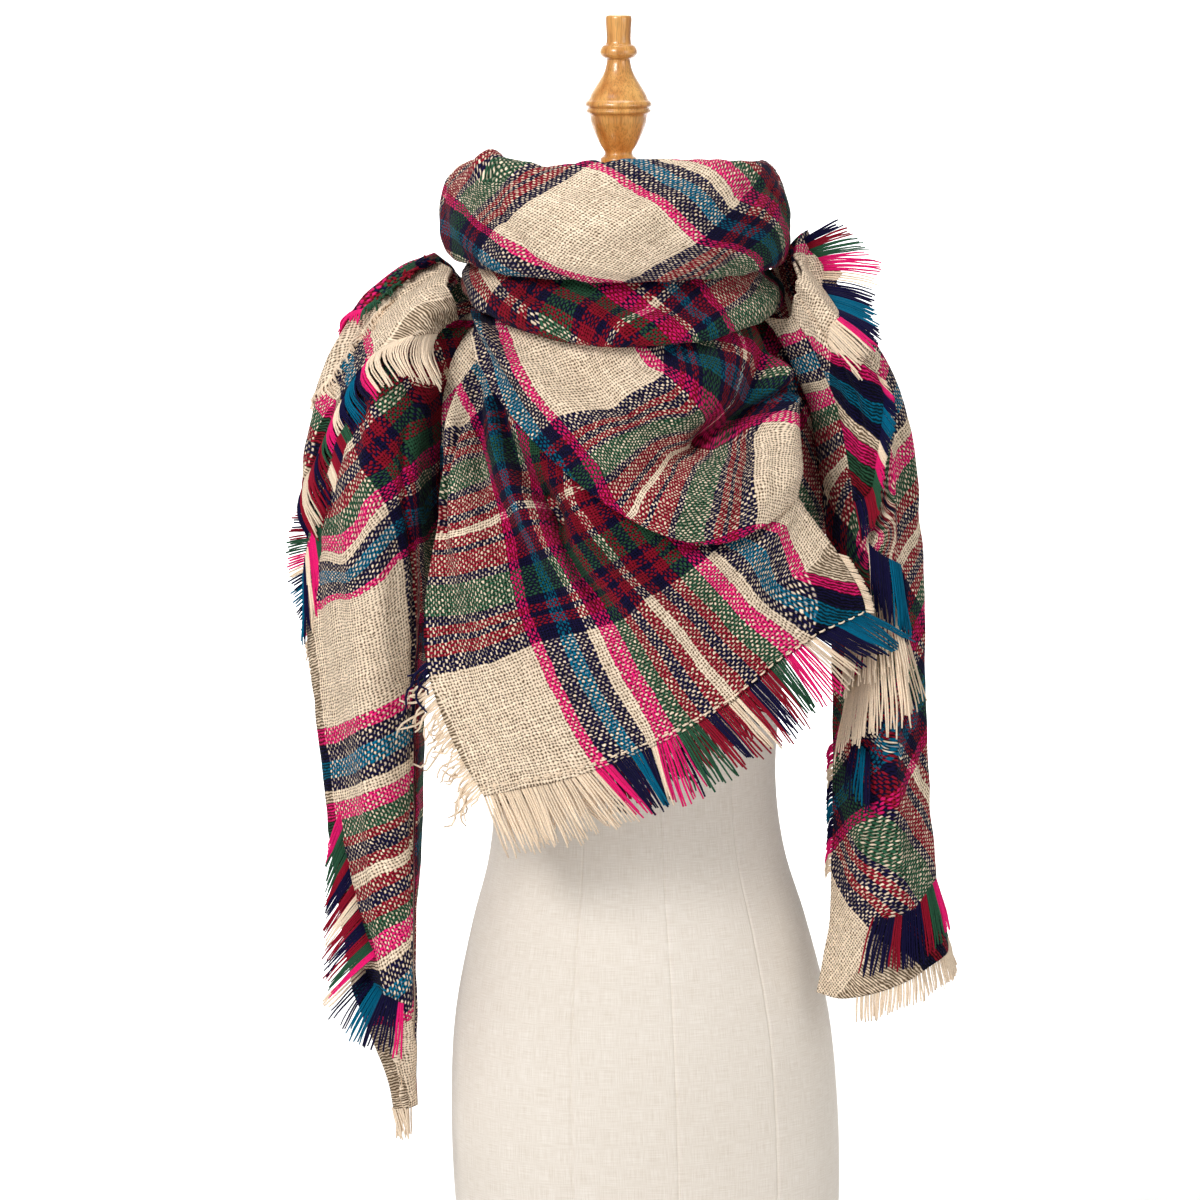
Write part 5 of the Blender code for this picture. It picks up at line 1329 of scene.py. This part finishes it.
def running_stitches(name, line, face, look):
    """A row of running stitches: short raised bars along a line, each the height of a half wave."""
    run = np.linalg.norm(np.diff(line[:, :3], axis=0), axis=1).sum()
    count = int(run / (STITCH_STEP * STITCH))
    at = np.arange(count)[:, None] + np.linspace(0.1, 0.1 + 1 / STITCH_STEP, STITCH_RINGS)[None]
    path = through(line[:, :3], at.ravel() / count).reshape(count, STITCH_RINGS, 3)
    out = units(through(face, at.ravel() / count)).reshape(count, STITCH_RINGS, 3)
    rise = STITCH_RISE[0] + STITCH_RISE[1] * np.sin(np.linspace(0, pi, STITCH_RINGS))
    path = path + out * rise[None, :, None]
    points, faces = tubes(path, np.full((count, STITCH_RINGS), STITCH_RADIUS), out[:, :1])
    made = add_mesh(name, points, faces, look, np.full((len(points), 2), PLAIN_EDGE))
    declare(made)


def closed_piece(name, points, look, node, flat=None):
    """A closed surface from rings that go up, with its two ends filled."""
    rows, sides = points.shape[:2]
    faces = net_faces(rows, sides, True)[:, ::-1].tolist()
    faces += [list(range(sides - 1, -1, -1)), list(range((rows - 1) * sides, rows * sides))]
    made = add_mesh(name, points, faces, look, flat, "cover")
    made.data.set_sharp_from_angle(angle=radians(50))
    declare(made, (node,))


TURNED_SIDES = 96
TURNED_RINGS = 6  # for each row of a profile


def turned(name, profile, look, centre_x=0.0):
    """A turned piece: its profile's smooth curve carried round, with flat ends."""
    shares = np.linspace(0, 1, TURNED_RINGS * len(profile))
    rows = through([(row.r, row.z, 0) for row in profile], shares)
    angle = np.arange(TURNED_SIDES) * 2 * pi / TURNED_SIDES
    r, z = rows[:, :1], rows[:, 1:2]
    points = np.stack([centre_x + r * np.cos(angle), r * np.sin(angle), z + 0 * angle], axis=-1)
    closed_piece(name + "_turned", points, look, name)


SEAMS = np.array((-2.05, -1.50, -0.93, 0.0, pi, 0.75, 2.4))  # the cover's seams, as angles round the form
SEAM_HALF = 0.011  # half a groove's width, as an angle
SEAM_DEPTH = 0.0075  # as a share of the form's half width
SEAM_COLUMNS = np.array([-1.6, -1, -0.5, 0, 0.5, 1, 1.6]) * SEAM_HALF  # where a groove needs columns
FORM_SIDES, FORM_ROWS = 96, 110
FORM_RADIUS = 0.14  # the form's mean radius, for the cover's own map


def off_seams(angle):
    """How far each angle round the form is from the nearest seam."""
    return np.abs((angle[:, None] - SEAMS + pi) % (2 * pi) - pi).min(axis=1)


def dress_form(look):
    """The form: half ellipses in front and behind, smooth up the table of girths, with sewn grooves."""
    even = np.linspace(-pi, pi, FORM_SIDES, endpoint=False)
    near = ((SEAMS[:, None] + SEAM_COLUMNS).ravel() + pi) % (2 * pi) - pi
    angle = np.sort(np.concatenate([even[off_seams(even) > 2.2 * SEAM_HALF], near]))
    z = through(GIRTHS, np.linspace(0, 1, FORM_ROWS))[:, :1]
    groove = 1 - SEAM_DEPTH * np.clip(1 - off_seams(angle) / SEAM_HALF, 0, 1) ** 1.5
    points = form_at(angle + 0 * z, z + 0 * angle, 0.0, groove)
    flat = np.stack([FORM_RADIUS * angle + 0 * z, z + 0 * angle], axis=-1)
    closed_piece("dress_form_cover", points, look, "dress_form", flat)


# ---------------------------------------------------------------- the camera, the floor and the light

AIM = Vector((-0.042, 0.0, 0.668))
FAR = 3.5
RAISED = radians(9)
LENS = 128.05  # millimetres, on a sensor 36 wide
WALLS = 0.32  # the light of the white walls

# The lights, large square soft boxes: where each stands, its size, its power and what it faces.
Light = namedtuple("Light", "name place size power aim")
LIGHTS = table(Light,
    ("key", (-1.5, -2.4, 2.5), 1.1, 76, AIM),
    ("fill", (2.4, -2.2, 1.6), 1.6, 22, AIM),
    ("top", (0.0, 0.3, 3.0), 1.2, 20, AIM),
    ("backdrop", (-2.6, 2.2, 2.6), 1.6, 260, Vector((0.6, 7.0, 1.4))),
    ("backdrop_right", (2.6, 2.2, 2.6), 1.6, 260, Vector((-0.6, 7.0, 1.4))),
)
# The floor's half width, where its wall stands and how high it goes, and the curve between them.
FLOOR_HALF, WALL_Y, WALL_TOP, SWEEP = 9.0, 7.0, 7.0, 2.0
FLOOR_DROP = 0.0002  # so that the stand's foot isn't in the floor


def camera():
    """A long lens, a little above the scarf, level and square."""
    data = bpy.data.cameras.new("camera")
    data.sensor_width, data.lens = 36.0, LENS
    made = bpy.data.objects.new("camera", data)
    made.location = AIM + Vector((0, -cos(RAISED), sin(RAISED))) * FAR
    made.rotation_euler = (pi / 2 - RAISED, 0, 0)
    bpy.context.scene.collection.objects.link(made)
    bpy.context.scene.camera = made


def floor(look):
    """The studio floor, which sweeps up behind in a quarter circle."""
    turn = np.linspace(0, pi / 2, 17)
    y = np.concatenate([[-FLOOR_HALF, 0.0], WALL_Y - SWEEP + SWEEP * np.sin(turn), [WALL_Y]])
    z = np.concatenate([[0.0, 0.0], SWEEP * (1 - np.cos(turn)), [WALL_TOP]]) - FLOOR_DROP
    x = np.array([-FLOOR_HALF, FLOOR_HALF])
    points = np.stack([x + 0 * y[:, None], y[:, None] + 0 * x, z[:, None] + 0 * x], axis=-1)
    add_mesh("floor", points, net_faces(len(y), 2)[:, ::-1].tolist(), look)


def studio():
    """White walls all round, a key from the upper left, a fill from the right and one from above."""
    world = bpy.data.worlds.new("studio")
    world.use_nodes = True
    world.node_tree.nodes["Background"].inputs[0].default_value = (1, 1, 1, 1)
    world.node_tree.nodes["Background"].inputs[1].default_value = WALLS
    bpy.context.scene.world = world
    bpy.context.scene.view_settings.view_transform = "Standard"
    for light in LIGHTS:
        data = bpy.data.lights.new(light.name, "AREA")
        data.size, data.energy = light.size, light.power
        made = bpy.data.objects.new(light.name, data)
        made.location = light.place
        made.rotation_euler = (light.aim - Vector(light.place)).to_track_quat("-Z", "Y").to_euler()
        bpy.context.scene.collection.objects.link(made)


# ---------------------------------------------------------------- the whole


def front_cloth(plaid, plain, yarns):
    """The two rolls, the third fold, and the drape with its fringes, stitches and second layer."""
    seam = 0.5 * SEAM / RING_STEP  # as a share of one row
    rows = COWL_ROWS[0], COWL_ROWS[1] - seam
    cowl = uneven("cowl", wrap_net(rows, COWL_FOLDS + COWL_CREASES, (0.2, 0.2), *COWL_NET))
    cowl = with_cloth(cowl, pinned(cowl, COWL_SEEN), across=41, down=17)
    cloth_piece("cowl", cowl, plaid, ("cowl_roll", "cowl_lip"), ["dress_form"])
    rows = SECOND_ROWS[0] + seam, SECOND_ROWS[1]
    second = wrap_net(rows, SECOND_FOLDS + SECOND_CREASES, (0.3, 0.3), *SECOND_NET)
    second = uneven("second_roll", second)
    second = with_cloth(second, pinned(second, SECOND_SEEN), across=45, down=9)
    cloth_piece("second_roll", second, plaid, ("second_fold",), ["dress_form"])
    third = uneven("swooping_fold", third_fold_net(THIRD_FOLDS + THIRD_CREASES, *THIRD_NET))
    third = with_cloth(third, pinned(third, THIRD_SEEN))
    cloth_piece("swooping_fold", third, plaid, ("third_fold",), ["second_roll"])
    drape = uneven("front_drape", drape_net(DRAPE_FOLDS + DRAPE_CREASES, *DRAPE_NET))
    drape = with_cloth(drape, pinned(drape, DRAPE_SEEN))
    cloth_piece("front_drape", drape, plaid, ("corner_drape",), ["swooping_fold"])
    hem = along_edge(drape, np.s_[-1], np.s_[-8])
    edge_yarns("hem_yarns", hem, yarns[0], ("hem_fringe",), length=0.050, seed=11)
    running_stitches("hem_stitches", drape[-4], faces_of(drape)[-4], yarns[0])
    right = along_edge(drape, np.s_[SIDE_FROM:-1, -1], np.s_[SIDE_FROM:-1, -8], axis=1)
    edge_yarns("drape_side_yarns", right, yarns[1], ("edge_fringe",), length=0.009, seed=12, slant=1.2)
    left = along_edge(drape, np.s_[FRAYED_FROM:-1, 0], np.s_[FRAYED_FROM:-1, 8], axis=1)
    edge_yarns("frayed_yarns", left, yarns[1], ("frayed_edge",), length=0.024, seed=13, slant=0.5,
               spread=0.45, wave=0.12, ragged=0.35)
    under_layer(drape, plain, yarns[1])


def under_layer(drape, plain, yarn):
    """The second layer of the folded square, joined to the drape's back, with its fringe."""
    across, down = (np.linspace(0, 1, count) for count in UNDER_NET)
    behind = drape[..., :3] - faces_of(drape) * (CLOTH + 3 * GAP)
    shares = UNDER_ACROSS[0] + (UNDER_ACROSS[1] - UNDER_ACROSS[0]) * across
    top, low = sample(behind, shares, 0 * across + UNDER_DOWN), through(UNDER_HEM, across)
    under = between_edges(top, low, through((top[0], low[0]), down), through((top[-1], low[-1]), down))
    under = with_cloth(under, UNDER_PINS, across=17, down=9)
    cloth_piece("under_layer", under, plain, ("under_corner",), ["front_drape"])
    hem = along_edge(under, np.s_[-1], np.s_[-5], axis=1)
    edge_yarns("under_yarns", hem, yarn, ("under_fringe",), length=0.030, seed=14, thread=0.0,
               spread=0.2, ragged=0.2)


def side_cloth(half, plaid, yarn):
    """A side's cloth and its upper layer, with their fringes; returns the plain shoulder and tail."""
    side, hand, seen = half.side, half.hand, half.plaid
    front, back, cape, tail = one_side(half.capes, half.tails, hand)
    upper = layer_net(cape, tail, hand, half.layer, LAYER_CREASES[hand > 0], *LAYER_NET)
    creased = uneven(side + "_side_cloth", lifted(front, FRONT_CREASES[hand > 0], hand), hand)
    back = back + (creased - front)[:SHOULDER_ROWS, -1:]
    main, inner = pinned(creased, seen.front, hand), pinned(creased, seen.inner, hand)
    front, back = joined_cloth(creased, back, seen.fold, main, inner, seen.agree)
    upper = uneven(side + "_layer_cloth", upper, hand)
    upper = with_cloth(upper, pinned(upper, seen.layer, hand))
    cloth_piece(side + "_side_cloth", front, plaid, (side + "_shoulder", side + "_tail"),
                ["dress_form"], back, hand)
    cloth_piece(side + "_layer_cloth", upper, plaid, (side + "_layer",),
                [side + "_side_cloth"], hand=hand)
    side_yarns(half, front, back, upper, yarn)
    return cape, tail


def side_yarns(half, front, back, upper, yarn):
    """A side's fringes: on its back hem, on its tip, on its edges, and those that lie on its cloth."""
    side, hand = half.side, half.hand
    hem = along_edge(back, np.s_[-1], np.s_[-6], hand=hand)
    edge_yarns(side + "_back_yarns", hem, yarn, (side + "_back_fringe",), length=0.044,
               seed=31 + hand, thread=0.0, sag=0.3)
    tip = along_edge(front, np.s_[-1, TIP_FROM:], np.s_[-6, TIP_FROM:], hand=hand)
    tip[0][:, 3] = TIP_PLACE
    edge_yarns(side + "_tip_yarns", tip, yarn, (side + "_tip_fringe",), length=0.022,
               seed=33 + hand, thread=0.0, spread=0.10, sag=0.3)
    low = slice(SHOULDER_ROWS - 1, None)
    lines = {
        "layer": along_edge(upper, np.s_[-1], np.s_[-6], hand=hand),
        "outer": along_edge(front, np.s_[low, -1], np.s_[low, -6], hand=hand),
        "inner": along_edge(front, np.s_[low, 0], np.s_[low, 5], hand=hand),
    }
    for number, row in enumerate(half.edges):
        at = np.linspace(row.start, row.end, 60)
        edge = [sample(line[None].repeat(2, 0), at, 0 * at) for line in lines[row.edge]]
        edge_yarns(f"{side}_{row.name}_yarns", edge, yarn, (f"{side}_{row.name}",), row.length,
                   seed=41 + 5 * number + hand, hangs=row.hangs, thread=0.3, sag=0.2)
    nets = {"front": front, "back": back, "layer": upper}
    shares = np.linspace(0, 1, 40)
    for number, row in enumerate(half.laid):
        net = nets[row.net]
        spots = through(seen_on(net, row.line, hand), shares)
        edge, face = (sample(each, spots[:, 0], spots[:, 1]) for each in (net, faces_of(net, hand)))
        edge[:, :3] += face * row.lift
        edge[:, 3] = np.interp(shares, np.linspace(0, 1, len(row.cloth)), row.cloth)
        fringe(f"{side}_{row.name}_yarns", edge, through(row.hangs, shares), row.hangs, face, yarn,
               (f"{side}_{row.node}",), row.length, seed=61 + 5 * number + hand, sag=0.2)


def shoulder_flap(name, flap, cape, tail, look, yarn):
    """A flap of the cloth's end over the left shoulder, with its short fringe along its hem."""
    across, down = (np.linspace(0, 1, count) for count in FLAP_NET)
    stations = through(flap.stations, across)
    around, low = stations[:, 0], down[:, None]
    low = stations[:, 1] * (1 - low) + stations[:, 2] * low
    net = uneven(name, side_at(cape, tail, LEFT.hand, around, low, flap.lift), LEFT.hand)
    net = with_cloth(net, flap.pins, across=9, down=9)
    cloth_piece(name, net, look, (), ["left_layer_cloth"], hand=LEFT.hand)
    hem = along_edge(net, np.s_[-1], np.s_[-5], hand=LEFT.hand)
    edge_yarns(name + "_yarns", hem, yarn, (), length=0.014, seed=flap.seed, hangs=flap.hangs,
               thread=0.2, spread=flap.spread, wave=0.05, ragged=0.3)


def form_at(angle, z, off, groove=1.0):
    """Points of the dress form at angles round it and heights, off its cover: two half ellipses."""
    rows = through(GIRTHS, np.linspace(0, 1, 400))
    side, front, back = (np.interp(z, rows[:, 0], rows[:, k]) + off for k in (1, 2, 3))
    x = side * np.cos(angle) * groove
    y = np.where(np.sin(angle) < 0, front, back) * np.sin(angle) * groove
    right = form_centre(z) + x * cos(FORM_TURN) - y * sin(FORM_TURN)
    return np.stack([right, x * sin(FORM_TURN) + y * cos(FORM_TURN), z + 0 * angle], axis=-1)


def inner_wrap(plaid):
    """The stretch next to the form, which shows in the gaps between the drape and the two shoulders."""
    angle = np.linspace(*WRAP_ANGLES, WRAP_NET[0])[None, :]
    z = np.linspace(*WRAP_HEIGHTS[::-1], WRAP_NET[1])[:, None]
    off_x, off_z = (angle - WRAP_BULGE.angle) / WRAP_BULGE.wide, (z - WRAP_BULGE.z) / WRAP_BULGE.tall
    off = WRAP_OFF + WRAP_BULGE.off * np.exp(-(off_x**2) - off_z**2)
    net = uneven("inner_wrap", form_at(angle + 0 * z, z + 0 * angle, off))
    net = with_cloth(net, pinned(net, WRAP_SEEN))
    cloth_piece("inner_wrap", net, plaid, (), ["dress_form"])


def build():
    """The whole scene: the camera and the studio, the form and its stand, and the scarf."""
    camera()
    studio()
    floor(pale_floor("pale_floor"))
    plaid, plain = woven_wool("plaid_wool"), woven_wool("plain_wool", striped=False)
    yarns = loose_yarn("yarn_across", ACROSS), loose_yarn("yarn_down", DOWN)
    wood = honey_wood("lacquered_honey_wood")
    dress_form(linen_cover("unbleached_linen"))
    turned("neck_cap", NECK_CAP, wood, NECK_X)
    turned("finial", FINIAL, wood, NECK_X)
    turned("stand_base", STAND_BASE, wood)
    turned("stand_pole", STAND_POLE, wood)
    front_cloth(plaid, plain, yarns)
    inner_wrap(plaid)
    cape, tail = side_cloth(LEFT, plaid, yarns[0])
    shoulder_flap("left_cream_flap", CREAM_FLAP, cape, tail, plain, yarns[0])
    shoulder_flap("left_dark_flap", DARK_FLAP, cape, tail, plaid, yarns[0])
    side_cloth(RIGHT, plaid, yarns[0])


build()
